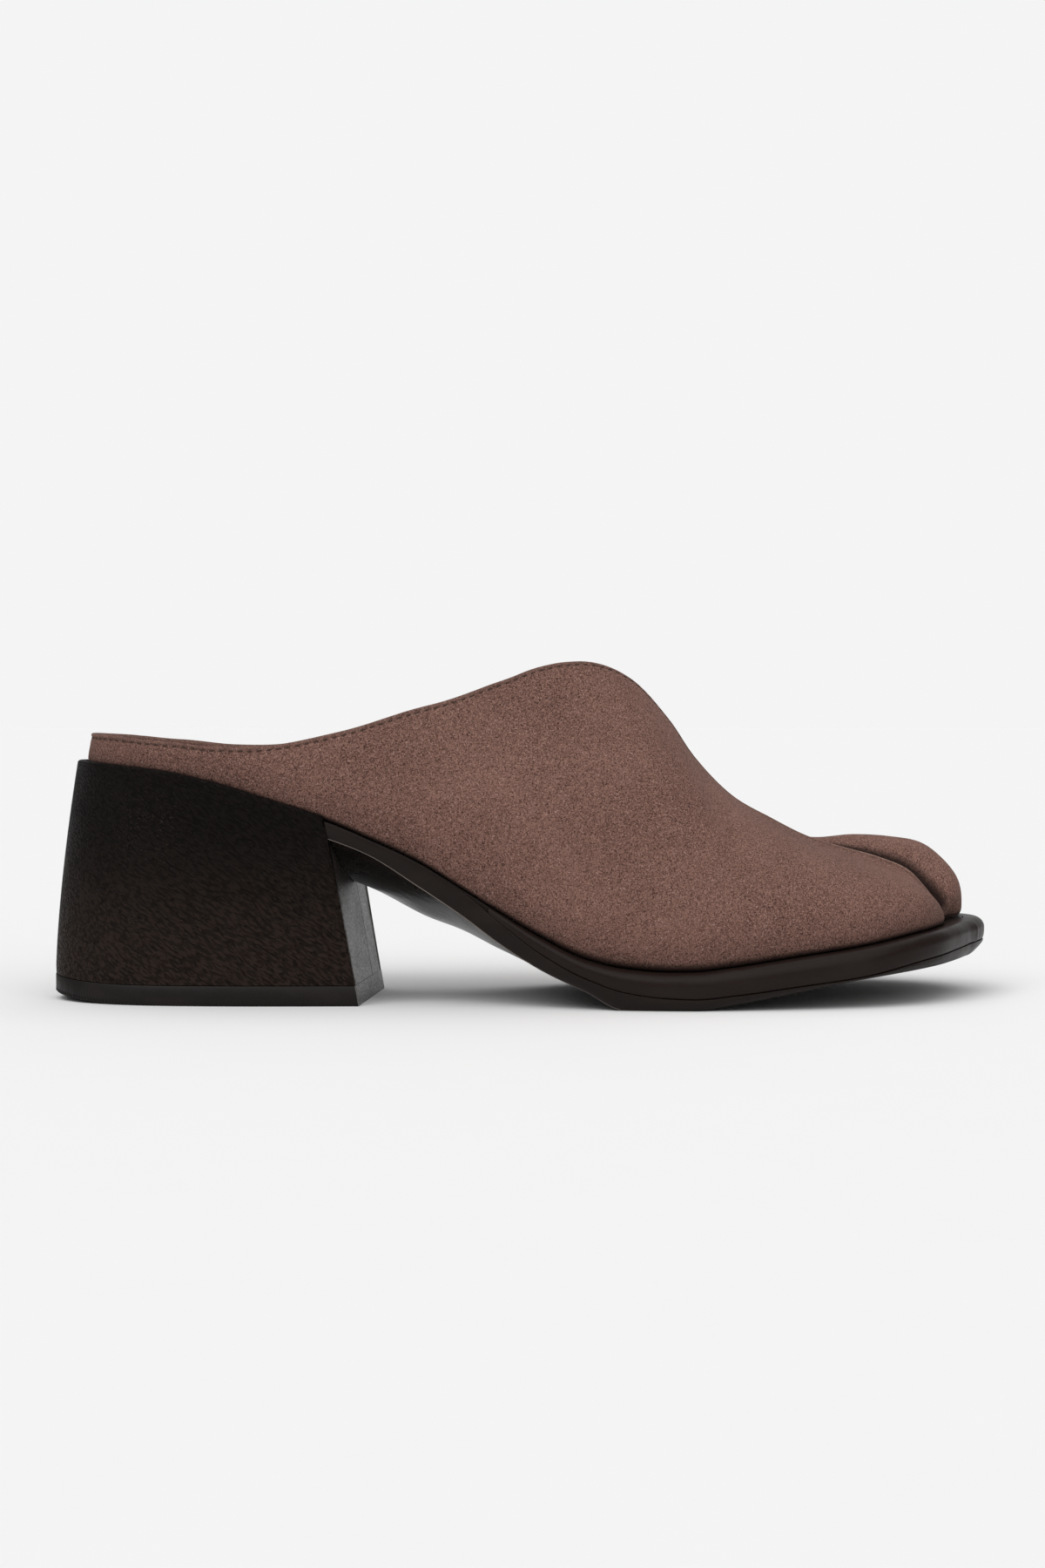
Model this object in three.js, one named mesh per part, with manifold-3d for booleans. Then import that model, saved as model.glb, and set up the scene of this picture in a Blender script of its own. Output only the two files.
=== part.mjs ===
// Block heel mule, right shoe, in millimetres: +X runs to the toe, +Y to the inner side, +Z up.
// The last is a table of ribs. Each rib joins a point of the foot line, where upper meets sole, to a point of the
// top edge, which is the topline behind the throat and the centre seam ahead of it.
import * as THREE from "three";
import Module from "manifold-3d";
import { mergeVertices } from "three/addons/utils/BufferGeometryUtils.js";

// Driving sizes
const shoeLength = 255; // back of the heel to the front of the welt
const ballWidth = 84; // foot line across the ball
const heelWidth = 56; // foot line across the seat
const seatHeight = 63.3; // floor to the foot line at the back
const soleDepth = 10; // floor to the foot line at the ball
const toeSpring = 10.7; // foot line's rise from ball to toe
const vampHeight = 78; // foot line to the peaks beside the throat
const wall = 2; // suede and lining together
const edgeRoll = 0.5; // crown of the rolled top edge
const cleftDepth = 5.5; // deepest part of the toe cleft under its folded edge
const cleftTuck = 5.5; // how far the cleft draws the upper in at the toe's front
const insoleThickness = 2.6;
const insoleNotch = 5.5; // hollow in the insole's front behind the cleft
const keelDepth = 11.2; // belly of the waist under its side edges, at the heel
const keelPlace = 0.24; // belly's line, from the middle (0) to the inner edge (1)
const beadHeight = 7.8; // welt's bead, top to ledge
const beadReach = 4.6; // bead's overhang past the foot line
const beadRound = 3.1; // bead's radius outwards
const beadStart = 0.9; // the same where the bead starts, as a share of its width there
const beadRecess = 0.7; // outsole's edge behind the bead's
const ledgeDepth = 1.4; // ledge under the upper's wall
const waistReach = 0.8; // waist edge past the foot line
const waistLedge = 0.5; // ledge along the waist
const edgeUndercut = 2.2; // outsole's edge drawn in at the floor
const waistUndercut = 0.5; // share of it that the waist keeps
const bellyPower = 1.6; // higher is flatter about the keel
const cupReach = 3; // heel rim past the foot line at the back
const cupFrontReach = 1.2; // the same at the breast
const cupLip = 0.9; // rim above the foot line
const cupBevel = 0.8;
const cupBevelRun = 0.45; // bevel's run, as a share of the rim's width
const cupGap = 0.45; // rim to upper
const heelFootWidth = 52; // heel across its foot
const heelRearOverhang = 0.4; // back of the heel's foot ahead of the shoe's back plane
const heelFlare = 1.5; // power of the heel's hollow back line
const breastFoot = 86; // heel's front at the floor, on the centre line
const breastLean = 0.175; // run back for each unit of height
const breastSkew = 0.09; // run forward for each unit towards the inner side
const liftHeight = 5.3; // top lift
const liftRise = 1.4; // its line's rise at the back
const heelKick = 2.1; // worn-in lift of the floor edge at the back
const kickLength = 25;
const fit = 0.3; // gap between pieces that meet

// Ribs from the back (first) to the toe (last). outX and inX place the foot line's outer and inner points, and
// edgeX the top edge, as shares of the length. outY, inY, edgeOut and edgeIn are shares of the width, which runs from
// the heel's to the ball's with toBall. spineX and spineY place the middle of the sole. height is a share of the
// vamp's height, outTuck and inTuck of the cleft's tuck, and groove of its depth.
const ribs = `
outX   inX    outY   inY   toBall spineX spineY edgeX  edgeOut edgeIn height outTuck inTuck groove
0.0369 0.0369 0      0     0      0.1018 0      0.0408 0       0      0.108  0       0      0
0.0470 0.0470 0.205  0.205 0      0.1048 0      0.0494 0.188   0.188  0.108  0       0      0
0.0725 0.0725 0.348  0.348 0      0.1136 0      0.0757 0.332   0.332  0.109  0       0      0
0.1176 0.1176 0.455  0.455 0      0.1334 0      0.1196 0.436   0.436  0.110  0       0      0
0.1804 0.1804 0.500  0.491 0      0.1848 -0.004 0.1804 0.475   0.468  0.133  0       0      0
0.2431 0.2431 0.505  0.482 0      0.2431 -0.011 0.2392 0.482   0.468  0.199  0       0      0
0.3059 0.3059 0.484  0.444 0.05   0.3064 -0.020 0.2981 0.481   0.458  0.304  0       0      0
0.3686 0.3686 0.457  0.407 0.15   0.3686 -0.025 0.3569 0.452   0.438  0.449  0       0      0
0.4314 0.4314 0.438  0.391 0.30   0.4319 -0.023 0.4157 0.398   0.410  0.622  0       0      0
0.4941 0.4941 0.433  0.414 0.50   0.4941 -0.010 0.4746 0.321   0.363  0.817  0       0      0
0.5569 0.5569 0.437  0.470 0.70   0.5564 0.017  0.5254 0.245   0.311  0.980  0       0      0
0.6196 0.6196 0.433  0.522 0.87   0.6196 0.044  0.5686 0.174   0.259  1.031  0       0      0
0.6667 0.6667 0.425  0.555 0.96   0.6671 0.065  0.6117 0.090   0.209  0.978  0       0      0
0.7059 0.7059 0.413  0.575 1      0.7056 0.081  0.6471 0.006   0.152  0.848  0       0      0
0.7372 0.7372 0.405  0.589 1      0.7372 0.092  0.6824 -0.081  0.081  0.671  0       0      0.22
0.7765 0.7765 0.387  0.598 1      0.7768 0.105  0.7216 -0.095  0.095  0.522  0       0      0.22
0.8157 0.8157 0.361  0.595 1      0.8104 0.117  0.7647 -0.102  0.102  0.424  0       0      0.24
0.8549 0.8549 0.321  0.583 1      0.8351 0.128  0.8039 -0.107  0.107  0.342  0       0      0.34
0.8902 0.8980 0.260  0.557 1      0.8509 0.133  0.8432 -0.107  0.107  0.282  0       0      0.55
0.9192 0.9357 0.176  0.506 1      0.8627 0.135  0.8784 -0.107  0.107  0.236  0       0      0.80
0.9404 0.9631 0.065  0.423 1      0.8726 0.133  0.9084 -0.102  0.102  0.188  0       0      1.00
0.9522 0.9792 -0.006 0.310 1      0.8805 0.131  0.9276 -0.100  0.100  0.126  0.28    0.12   0.90
0.9604 0.9808 -0.060 0.208 1      0.8864 0.126  0.9436 -0.096  0.096  0.054  0.55    0.45   0.40
0.9698 0.9698 -0.113 0.113 1      0.8904 0.124  0.9482 -0.095  0.095  0      1       1      0
`;

// Fullness of each rib, outer side then inner side. rise and crest lift the curve's handles at the foot line and at
// the edge, as shares of the rib's height. flare and reach carry them outwards, as shares of the ball's width, and
// push carries the inner lobe's forwards, as a share of the length.
const fullness = `
rise crest  flare reach inRise inCrest inFlare inReach push
0.33 -0.33  0.003 0     0.33   -0.33   0.003   0       0
0.33 -0.33  0.003 0     0.33   -0.33   0.003   0       0
0.33 -0.33  0.004 0.003 0.33   -0.33   0.004   0.003   0
0.33 -0.33  0.006 0.006 0.33   -0.33   0.006   0.006   0
0.33 -0.33  0.010 0.008 0.33   -0.33   0.010   0.008   0
0.33 -0.33  0.018 0.012 0.33   -0.33   0.016   0.010   0
0.33 -0.33  0.028 0.016 0.33   -0.33   0.026   0.012   0
0.34 -0.33  0.036 0.022 0.34   -0.33   0.036   0.020   0
0.35 -0.33  0.046 0.040 0.35   -0.33   0.046   0.036   0
0.36 -0.31  0.058 0.075 0.36   -0.31   0.056   0.064   0
0.37 -0.29  0.068 0.115 0.37   -0.29   0.060   0.102   0
0.36 -0.22  0.068 0.155 0.36   -0.22   0.055   0.140   0
0.36 -0.14  0.064 0.185 0.36   -0.14   0.050   0.170   0
0.37 -0.09  0.060 0.205 0.38   -0.09   0.045   0.190   0
0.43 -0.05  0.056 0.215 0.44   -0.04   0.042   0.210   0
0.51 -0.04  0.053 0.218 0.53   -0.01   0.040   0.210   0
0.59 -0.07  0.050 0.203 0.66   0.05    0.036   0.200   0
0.70 -0.14  0.047 0.180 0.80   0.18    0.033   0.150   0
0.82 -0.24  0.044 0.150 1.09   0.56    0.030   0.080   0
0.94 -0.34  0.040 0.118 1.25   0.92    0.026   0.060   0
1.00 -0.42  0.034 0.078 1.36   1.36    0.022   0.050   0.016
0.98 -0.42  0.024 0.046 1.33   1.52    0.016   0.036   0.039
0.88 -0.30  0.010 0.018 1.90   1.60    0.010   0.024   0.024
0.75 0      0     0     1.90   1.60    0       0       0
`;

// Heights along the sole, at shares of the length. seat and spring raise the foot line, under and toeUnder the
// sole's underside: seat and under are shares of the heel's lift, spring and toeUnder of the toe spring. keel, bead
// and reach are shares of the keel's depth, the bead's height and its reach.
const profile = `
at    seat  spring under toeUnder keel bead reach
0.000 1.012 0      1.02  0        1    0.06 0
0.037 1.000 0      1.00  0        1    0.06 0
0.126 0.957 0      0.98  0        1    0.06 0
0.181 0.900 0      0.96  0        1    0.06 0
0.235 0.821 0      0.915 0        1    0.06 0
0.298 0.724 0      0.823 0        1    0.06 0
0.338 0.643 0      0.747 0        0.97 0.06 0
0.389 0.529 0      0.593 0        0.84 0.06 0
0.434 0.398 0      0.450 0        0.56 0.10 0.03
0.475 0.276 0      0.308 0        0.35 0.36 0.28
0.519 0.155 0      0.180 0        0.13 0.58 0.60
0.561 0.060 0      0.088 0        0.03 0.65 0.82
0.600 0.017 0      0     0        0    0.80 0.93
0.642 0.001 0      0     0        0    0.87 0.98
0.672 0     0.008  0     0        0    0.91 1
0.709 0     0.103  0     0.130    0    0.93 1
0.776 0     0.336  0     0.420    0    0.97 1
0.844 0     0.561  0     0.700    0    1    1
0.918 0     0.860  0     0.900    0    0.92 1
0.976 0     1.000  0     1.010    0    0.85 1
1.000 0     1.030  0     1.220    0    0.82 1
`;

// Outsole's edge from floor to ledge: height as a share of the edge's own, tuck as a share of the undercut.
const soleEdge = `
height tuck
0      1
0.3    0.35
0.7    0
1      0
`;

const stepsPerRib = 2;
const wallSteps = 9; // foot line to top edge
const soleSteps = 4; // middle of the sole to its edge
const beadSteps = 6; // round the bead
const heelSteps = 7; // top lift to rim

const outer = -1;
const inner = 1;

// Reads a table's text into one list of numbers for each named column.
function readTable(text) {
  const [names, ...rows] = text.trim().split("\n").map((line) => line.trim().split(/\s+/));
  const columns = {};
  names.forEach((name, column) => {
    columns[name] = rows.map((row) => Number(row[column]));
  });
  return columns;
}

const rib = { ...readTable(ribs), ...readTable(fullness) };
const sole = readTable(profile);
const edgeShape = readTable(soleEdge);
const lastRib = rib.outX.length - 1;
const throatRib = rib.groove.findIndex((depth) => depth > 0); // the topline ends and the centre seam starts
const heelRibs = rib.outX.findIndex((share) => share * shoeLength > breastFoot); // ribs that the heel spans
const waistRib = heelRibs - 2; // where the outsole's waist starts, behind the heel's breast
const beadRib = heelRibs + 1.5; // where the welt starts on each side

const mix = (a, b, t) => a + (b - a) * t;
const clamp = (value, low, high) => Math.min(high, Math.max(low, value));
const at = (x, y, z) => new THREE.Vector3(x, y, z);

// Smooth curve through evenly spaced values; before and after are the values past its two ends.
function through(values, place, before, after) {
  const low = clamp(Math.floor(place), 0, values.length - 2);
  const t = place - low;
  const a = low > 0 ? values[low - 1] : before;
  const b = values[low];
  const c = values[low + 1];
  const d = low + 2 < values.length ? values[low + 2] : after;
  const slopeB = (c - a) / 2;
  const slopeC = (d - b) / 2;
  return b + t * (slopeB + t * (3 * (c - b) - 2 * slopeB - slopeC + t * (2 * (b - c) + slopeB + slopeC)));
}

// A rib's column at any place along the shoe. It is even about the back's centre line.
function ribValue(name, place) {
  const values = rib[name];
  return through(values, place, values[1], 2 * values[lastRib] - values[lastRib - 1]);
}

// A sole column at any x, with no overshoot, so that its flat stretches stay flat.
function soleValue(name, x) {
  const share = x / shoeLength;
  const places = sole.at;
  const values = sole[name];
  const secant = (k) => (values[k + 1] - values[k]) / (places[k + 1] - places[k]);
  const slope = (k) => {
    if (k === 0) return secant(0);
    if (k === places.length - 1) return secant(k - 1);
    const before = secant(k - 1);
    const after = secant(k);
    return before * after <= 0 ? 0 : (2 * before * after) / (before + after);
  };
  const last = places.length - 1;
  if (share >= places[last]) return values[last] + slope(last) * (share - places[last]);
  let k = 0;
  while (share > places[k + 1]) k += 1;
  const span = places[k + 1] - places[k];
  const t = (share - places[k]) / span;
  const rise = values[k + 1] - values[k];
  const a = slope(k) * span;
  const b = slope(k + 1) * span;
  return values[k] + t * (a + t * (3 * rise - 2 * a - b + t * (a + b - 2 * rise)));
}

const heelLift = seatHeight - soleDepth;
const footLine = (x) => soleDepth + heelLift * soleValue("seat", x) + toeSpring * soleValue("spring", x);
const underLine = (x) => heelLift * soleValue("under", x) + toeSpring * soleValue("toeUnder", x);
const seatTop = (x) => footLine(x) - fit;
const ledgeLine = (x) => footLine(x) - beadHeight * soleValue("bead", x);

// Foot line in plan: one closed curve through the outer ribs to the toe and back through the inner ribs.
const loop = { x: [], y: [] };
for (let k = 0; k <= lastRib; k += 1) {
  const width = mix(heelWidth, ballWidth, rib.toBall[k]);
  loop.x.push(shoeLength * rib.outX[k]);
  loop.y.push(-width * rib.outY[k]);
}
for (let k = lastRib - 1; k >= 0; k -= 1) {
  const width = mix(heelWidth, ballWidth, rib.toBall[k]);
  loop.x.push(shoeLength * rib.inX[k]);
  loop.y.push(width * rib.inY[k]);
}

function loopPoint(place) {
  const x = through(loop.x, place, loop.x[loop.x.length - 2], loop.x[1]);
  const y = through(loop.y, place, loop.y[loop.y.length - 2], loop.y[1]);
  return new THREE.Vector2(x, y);
}

// Foot line point of one side at a rib place, and the outward direction there.
function footPoint(side, place) {
  const end = 2 * lastRib;
  const onLoop = side === outer ? place : end - place;
  const step = 0.01;
  const ahead = loopPoint(Math.min(onLoop + step, end));
  const behind = loopPoint(Math.max(onLoop - step, 0));
  const along = ahead.sub(behind);
  if (onLoop < step || onLoop > end - step) along.set(0, -1);
  along.normalize();
  return { spot: loopPoint(onLoop), out: new THREE.Vector2(along.y, -along.x) };
}

// Point at an offset past the foot line, in plan.
function beside(side, place, offset) {
  const { spot, out } = footPoint(side, place);
  return spot.addScaledVector(out, offset);
}

function spinePoint(place) {
  const width = mix(heelWidth, ballWidth, clamp(ribValue("toBall", place), 0, 1));
  return new THREE.Vector2(shoeLength * ribValue("spineX", place), width * ribValue("spineY", place));
}

// Top edge of one side, before the cleft's groove is cut.
function edgePoint(side, place) {
  const width = mix(heelWidth, ballWidth, clamp(ribValue("toBall", place), 0, 1));
  const share = side === outer ? edgeShare("edgeOut", place) : edgeShare("edgeIn", place);
  const height = vampHeight * ribValue("height", place);
  return at(shoeLength * ribValue("edgeX", place), side * width * share, foot(side, place).z + height);
}

// The top edge's share of the width is odd about the back's centre line.
function edgeShare(name, place) {
  const values = rib[name];
  return through(values, place, -values[1], 2 * values[lastRib] - values[lastRib - 1]);
}

// Where the upper's outer face meets the sole.
function foot(side, place) {
  const inward = cleftTuck * clamp(ribValue(side === outer ? "outTuck" : "inTuck", place), 0, 1);
  const spot = beside(side, place, -inward);
  return at(spot.x, spot.y, footLine(spot.x));
}

// Seam curve's inward direction, across the fold and square to its run.
function seamInward(place) {
  const step = 0.05;
  const ahead = edgePoint(outer, Math.min(place + step, lastRib));
  const behind = edgePoint(outer, Math.max(place - step, throatRib));
  const run = ahead.sub(behind);
  return at(run.z, 0, -run.x).normalize();
}

function groovePoint(place) {
  const depth = cleftDepth * clamp(ribValue("groove", place), 0, 1);
  return edgePoint(outer, place).addScaledVector(seamInward(place), depth);
}

// Outer face of one side along a rib, from foot line to top edge.
function ribCurve(side, place) {
  const low = foot(side, place);
  const pick = (outName, inName) => ribValue(side === outer ? outName : inName, place);
  const height = vampHeight * ribValue("height", place);
  const onSeam = place >= throatRib;
  const high = side === inner && onSeam ? groovePoint(place) : edgePoint(side, place);
  const { out } = footPoint(side, place);
  const flare = ballWidth * pick("flare", "inFlare");
  const reach = ballWidth * pick("reach", "inReach");
  const push = side === inner ? shoeLength * ribValue("push", place) : 0;
  const lowHandle = low.clone().add(at(out.x * flare, out.y * flare, height * pick("rise", "inRise")));
  const highHandle = high.clone().add(at(push, side * reach, height * pick("crest", "inCrest")));
  return new THREE.CubicBezierCurve3(low, lowHandle, highHandle, high);
}

const stationCount = lastRib * stepsPerRib;
const throatStation = throatRib * stepsPerRib;

// Grid of the outer face: a row of points for each station.
function outerGrid(side) {
  const rows = [];
  for (let k = 0; k <= stationCount; k += 1) {
    rows.push(ribCurve(side, k / stepsPerRib).getPoints(wallSteps));
  }
  return rows;
}

// Inner face: the outer one set in by the wall, along its own normal.
function innerGrid(side, rows, opposite) {
  return rows.map((row, k) => {
    const place = k / stepsPerRib;
    const low = foot(side, place);
    const { out } = footPoint(side, place);
    const base = at(low.x - out.x * wall, low.y - out.y * wall, 0);
    base.z = footLine(base.x);
    if (k === stationCount) return row.map(() => base.clone());
    const before = k === 0 ? opposite[1] : rows[k - 1];
    const after = rows[k + 1];
    return row.map((spot, j) => {
      if (j === 0) return base;
      if (j === wallSteps && k >= throatStation) return seamInside(place);
      const along = after[j].clone().sub(before[j]);
      const up = row[Math.min(j + 1, wallSteps)].clone().sub(row[j - 1]);
      const normal = along.cross(up).normalize().multiplyScalar(side);
      return spot.clone().addScaledVector(normal, wall);
    });
  });
}

function seamInside(place) {
  return groovePoint(place).addScaledVector(seamInward(place), wall);
}

// Collects triangles of a closed skin.
class Skin {
  constructor() {
    this.corners = [];
  }

  triangle(a, b, c) {
    this.corners.push(a, b, c);
  }

  // Joins two rings of as many points with a band of quads, each cut along its shorter diagonal.
  band(ringA, ringB) {
    const count = ringA.length;
    for (let k = 0; k < count; k += 1) {
      const next = (k + 1) % count;
      const [a, b, c, d] = [ringA[k], ringA[next], ringB[next], ringB[k]];
      if (a.distanceToSquared(c) <= b.distanceToSquared(d)) {
        this.triangle(a, b, c);
        this.triangle(a, c, d);
      } else {
        this.triangle(a, b, d);
        this.triangle(b, c, d);
      }
    }
  }

  // Closes a ring with triangles from its first point.
  fan(ring) {
    for (let k = 1; k < ring.length - 1; k += 1) {
      this.triangle(ring[0], ring[k], ring[k + 1]);
    }
  }

  // Closes a ring that is convex or nearly so with triangles about its middle.
  hub(ring) {
    const middle = ring.reduce((sum, spot) => sum.add(spot), at(0, 0, 0)).divideScalar(ring.length);
    ring.forEach((spot, k) => this.triangle(middle, spot, ring[(k + 1) % ring.length]));
  }

  // Merged geometry with its faces outwards.
  geometry() {
    const loose = new THREE.BufferGeometry().setFromPoints(this.corners);
    const merged = mergeVertices(loose, 1e-3);
    const order = merged.getIndex().array;
    const spots = merged.getAttribute("position");
    const corner = (k) => new THREE.Vector3().fromBufferAttribute(spots, k);
    const kept = [];
    let volume = 0;
    for (let k = 0; k < order.length; k += 3) {
      const [a, b, c] = [order[k], order[k + 1], order[k + 2]];
      if (a === b || b === c || c === a) continue;
      volume += corner(a).dot(corner(b).cross(corner(c)));
      kept.push([a, b, c]);
    }
    const facing = volume < 0 ? kept.map(([a, b, c]) => [a, c, b]) : kept;
    merged.setIndex(facing.flat());
    return merged;
  }
}

// Upper: two side walls that share their back line and join at the throat into one arch to the toe.
function upperGeometry() {
  const outRows = outerGrid(outer);
  const inRows = outerGrid(inner);
  const outLining = innerGrid(outer, outRows, inRows);
  const inLining = innerGrid(inner, inRows, outRows);
  const rollAt = (face, lining) => {
    const middle = face.clone().add(lining).multiplyScalar(0.5);
    return middle.add(at(0, 0, edgeRoll));
  };
  const wallRing = (face, lining, side) => {
    const ring = [...face, rollAt(face[wallSteps], lining[wallSteps]), ...[...lining].reverse()];
    return side === outer ? ring : ring.reverse();
  };
  const archRing = (k) => [
    ...outRows[k],
    ...[...inRows[k]].reverse(),
    ...inLining[k],
    ...[...outLining[k]].reverse().slice(1),
  ];
  const skin = new Skin();
  for (let k = 0; k < throatStation; k += 1) {
    skin.band(wallRing(outRows[k], outLining[k], outer), wallRing(outRows[k + 1], outLining[k + 1], outer));
    skin.band(wallRing(inRows[k], inLining[k], inner), wallRing(inRows[k + 1], inLining[k + 1], inner));
  }
  for (let k = throatStation; k < stationCount; k += 1) {
    skin.band(archRing(k), archRing(k + 1));
  }
  const [fold, groove] = [outRows[throatStation][wallSteps], inRows[throatStation][wallSteps]];
  const inside = outLining[throatStation][wallSteps];
  skin.fan([inside, rollAt(groove, inside), groove, fold, rollAt(fold, inside)]);
  return { geometry: skin.geometry(), outLining, inLining };
}

// Ring across the shoe at one station: the underside from inner to outer edge, up the outer side, across the top
// and down the inner side. Sides are lists of points from the bottom up.
function rungRing(place, outSide, inSide, under, over) {
  const spine = spinePoint(place);
  const across = (edge, share, side, height) => {
    const x = mix(spine.x, edge.x, share);
    const y = mix(spine.y, edge.y, share);
    return at(x, y, height(x, side * share));
  };
  const line = (outEdge, inEdge, height) => {
    const spots = [];
    for (let k = soleSteps - 1; k > 0; k -= 1) spots.push(across(inEdge, k / soleSteps, inner, height));
    for (let k = 0; k < soleSteps; k += 1) spots.push(across(outEdge, k / soleSteps, outer, height));
    return spots;
  };
  const bottom = line(outSide[0], inSide[0], under);
  const top = line(outSide[outSide.length - 1], inSide[inSide.length - 1], over);
  return [...bottom, ...outSide, ...top.reverse(), ...[...inSide].reverse()];
}

// Sheet of rings from one rib place to another; a first or last rib of the whole shoe folds shut by itself.
function slab(firstRib, finalRib, ringAt) {
  const skin = new Skin();
  const rings = [];
  const count = Math.round((finalRib - firstRib) * stepsPerRib);
  for (let k = 0; k <= count; k += 1) {
    rings.push(ringAt(firstRib + k / stepsPerRib));
  }
  for (let k = 0; k < count; k += 1) {
    skin.band(rings[k], rings[k + 1]);
  }
  if (firstRib > 0) skin.hub([...rings[0]].reverse());
  if (finalRib < lastRib) skin.hub(rings[count]);
  return skin.geometry();
}

const spotAt = (side, place, offset, height) => {
  const spot = beside(side, place, offset);
  return at(spot.x, spot.y, height(spot.x));
};

// Point of a lining row at a height over its foot.
function liningAt(row, height) {
  let k = 1;
  while (k < wallSteps && row[k].z - row[0].z < height) k += 1;
  const climb = row[k].z - row[k - 1].z;
  const share = climb > 0 ? clamp((row[0].z + height - row[k - 1].z) / climb, 0, 1) : 0;
  return row[k - 1].clone().lerp(row[k], share);
}

// Insole: fits the lining's foot all round.
function insoleGeometry({ outLining, inLining }) {
  const edge = (side, place, lining) => {
    const row = lining[Math.round(place * stepsPerRib)];
    const { out } = footPoint(side, place);
    const inward = fit + insoleNotch * clamp(ribValue("outTuck", place), 0, 1);
    const pulled = (spot, lift) => {
      const x = spot.x - out.x * inward;
      return at(x, spot.y - out.y * inward, footLine(x) + lift);
    };
    const higher = liningAt(row, insoleThickness);
    const widening = (higher.x - row[0].x) * out.x + (higher.y - row[0].y) * out.y;
    return [pulled(row[0], 0), pulled(widening > 0 ? row[0] : higher, insoleThickness)];
  };
  return slab(0, lastRib, (place) => rungRing(
    place,
    edge(outer, place, outLining),
    edge(inner, place, inLining),
    (x) => footLine(x),
    (x) => footLine(x) + insoleThickness,
  ));
}

// Outsole's edge past the foot line at a place along the shoe.
const edgeReach = (x) => mix(waistReach, beadReach - beadRecess, soleValue("reach", x));
const ledgeInside = (x) => mix(waistReach - waistLedge, -ledgeDepth, soleValue("reach", x));

// Belly of the waist: none at the edges, full on the keel's line.
function belly(x, across) {
  const span = across < keelPlace ? keelPlace + 1 : 1 - keelPlace;
  const away = Math.abs(across - keelPlace) / span;
  return keelDepth * soleValue("keel", x) * (1 - away ** bellyPower);
}

function outsoleGeometry() {
  const side = (which, place) => {
    const x = beside(which, place, 0).x;
    const reach = edgeReach(x);
    const inside = ledgeInside(x);
    const undercut = edgeUndercut * mix(waistUndercut, 1, soleValue("reach", x));
    const between = (share) => (spotX) => mix(underLine(spotX), ledgeLine(spotX), share);
    return [
      ...edgeShape.height.map((share, k) => (
        spotAt(which, place, reach - undercut * edgeShape.tuck[k], between(share))
      )),
      spotAt(which, place, inside, ledgeLine),
      spotAt(which, place, inside, seatTop),
    ];
  };
  return slab(waistRib, lastRib, (place) => rungRing(
    place,
    side(outer, place),
    side(inner, place),
    (x, across) => underLine(x) - belly(x, across),
    seatTop,
  ));
}

// Welt: a bead on the outsole's ledge, from one side of the waist round the toe to the other.
function weltGeometry() {
  const ring = (side, place) => {
    const x = beside(side, place, 0).x;
    const share = soleValue("reach", x);
    const inside = ledgeInside(x) + fit;
    const reach = mix(waistReach, beadReach, share);
    const round = mix((waistReach - inside) * beadStart, beadRound, share);
    const low = (spotX) => ledgeLine(spotX) + fit;
    const spots = [spotAt(side, place, inside, low)];
    for (let k = 0; k <= beadSteps; k += 1) {
      const angle = (k / beadSteps - 0.5) * Math.PI;
      const lift = 0.5 + 0.5 * Math.sin(angle);
      const offset = reach - round + round * Math.cos(angle);
      spots.push(spotAt(side, place, offset, (spotX) => mix(low(spotX), seatTop(spotX), lift)));
    }
    spots.push(spotAt(side, place, inside, seatTop));
    return spots;
  };
  const rings = [];
  for (let place = beadRib; place <= lastRib; place += 1 / stepsPerRib) rings.push(ring(outer, place));
  for (let place = lastRib - 1 / stepsPerRib; place >= beadRib; place -= 1 / stepsPerRib) {
    rings.push(ring(inner, place));
  }
  const skin = new Skin();
  for (let k = 0; k < rings.length - 1; k += 1) skin.band(rings[k], rings[k + 1]);
  skin.fan([...rings[0]].reverse());
  skin.fan(rings[rings.length - 1]);
  return skin.geometry();
}

// The heel's foot in plan: the seat's outline, drawn in at the sides and out at the back.
function heelFootSpot(side, place) {
  const { spot } = footPoint(side, place);
  const start = loop.x[0];
  const stretch = (breastFoot - heelRearOverhang) / (shoeLength * rib.outX[heelRibs - 1] - start);
  return new THREE.Vector2(
    heelRearOverhang + (spot.x - start) * stretch,
    spot.y * (heelFootWidth / heelWidth),
  );
}

const rearShare = (x) => clamp((kickLength - x) / kickLength, 0, 1) ** 2;
const liftTop = (x) => liftHeight + liftRise * rearShare(x);
const liftFloor = (x) => heelKick * rearShare(x);

function heelGeometry() {
  const side = (which, place) => {
    const low = heelFootSpot(which, place);
    const x = footPoint(which, place).spot.x;
    const reach = mix(cupReach, cupFrontReach, clamp(x / breastFoot, 0, 1));
    const rim = beside(which, place, reach);
    const bottom = liftTop(low.x) + fit;
    const top = footLine(rim.x) + cupLip - cupBevel;
    const spots = [];
    for (let k = 0; k <= heelSteps; k += 1) {
      const share = k / heelSteps;
      const lean = share ** heelFlare;
      spots.push(at(mix(low.x, rim.x, lean), mix(low.y, rim.y, lean), mix(bottom, top, share)));
    }
    spots.push(spotAt(which, place, mix(reach, cupGap, cupBevelRun), (spotX) => footLine(spotX) + cupLip));
    spots.push(spotAt(which, place, cupGap, (spotX) => footLine(spotX) + cupLip));
    spots.push(spotAt(which, place, cupGap, seatTop));
    return spots;
  };
  return slab(0, heelRibs, (place) => rungRing(
    place,
    side(outer, place),
    side(inner, place),
    (x) => liftTop(x) + fit,
    seatTop,
  ));
}

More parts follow.
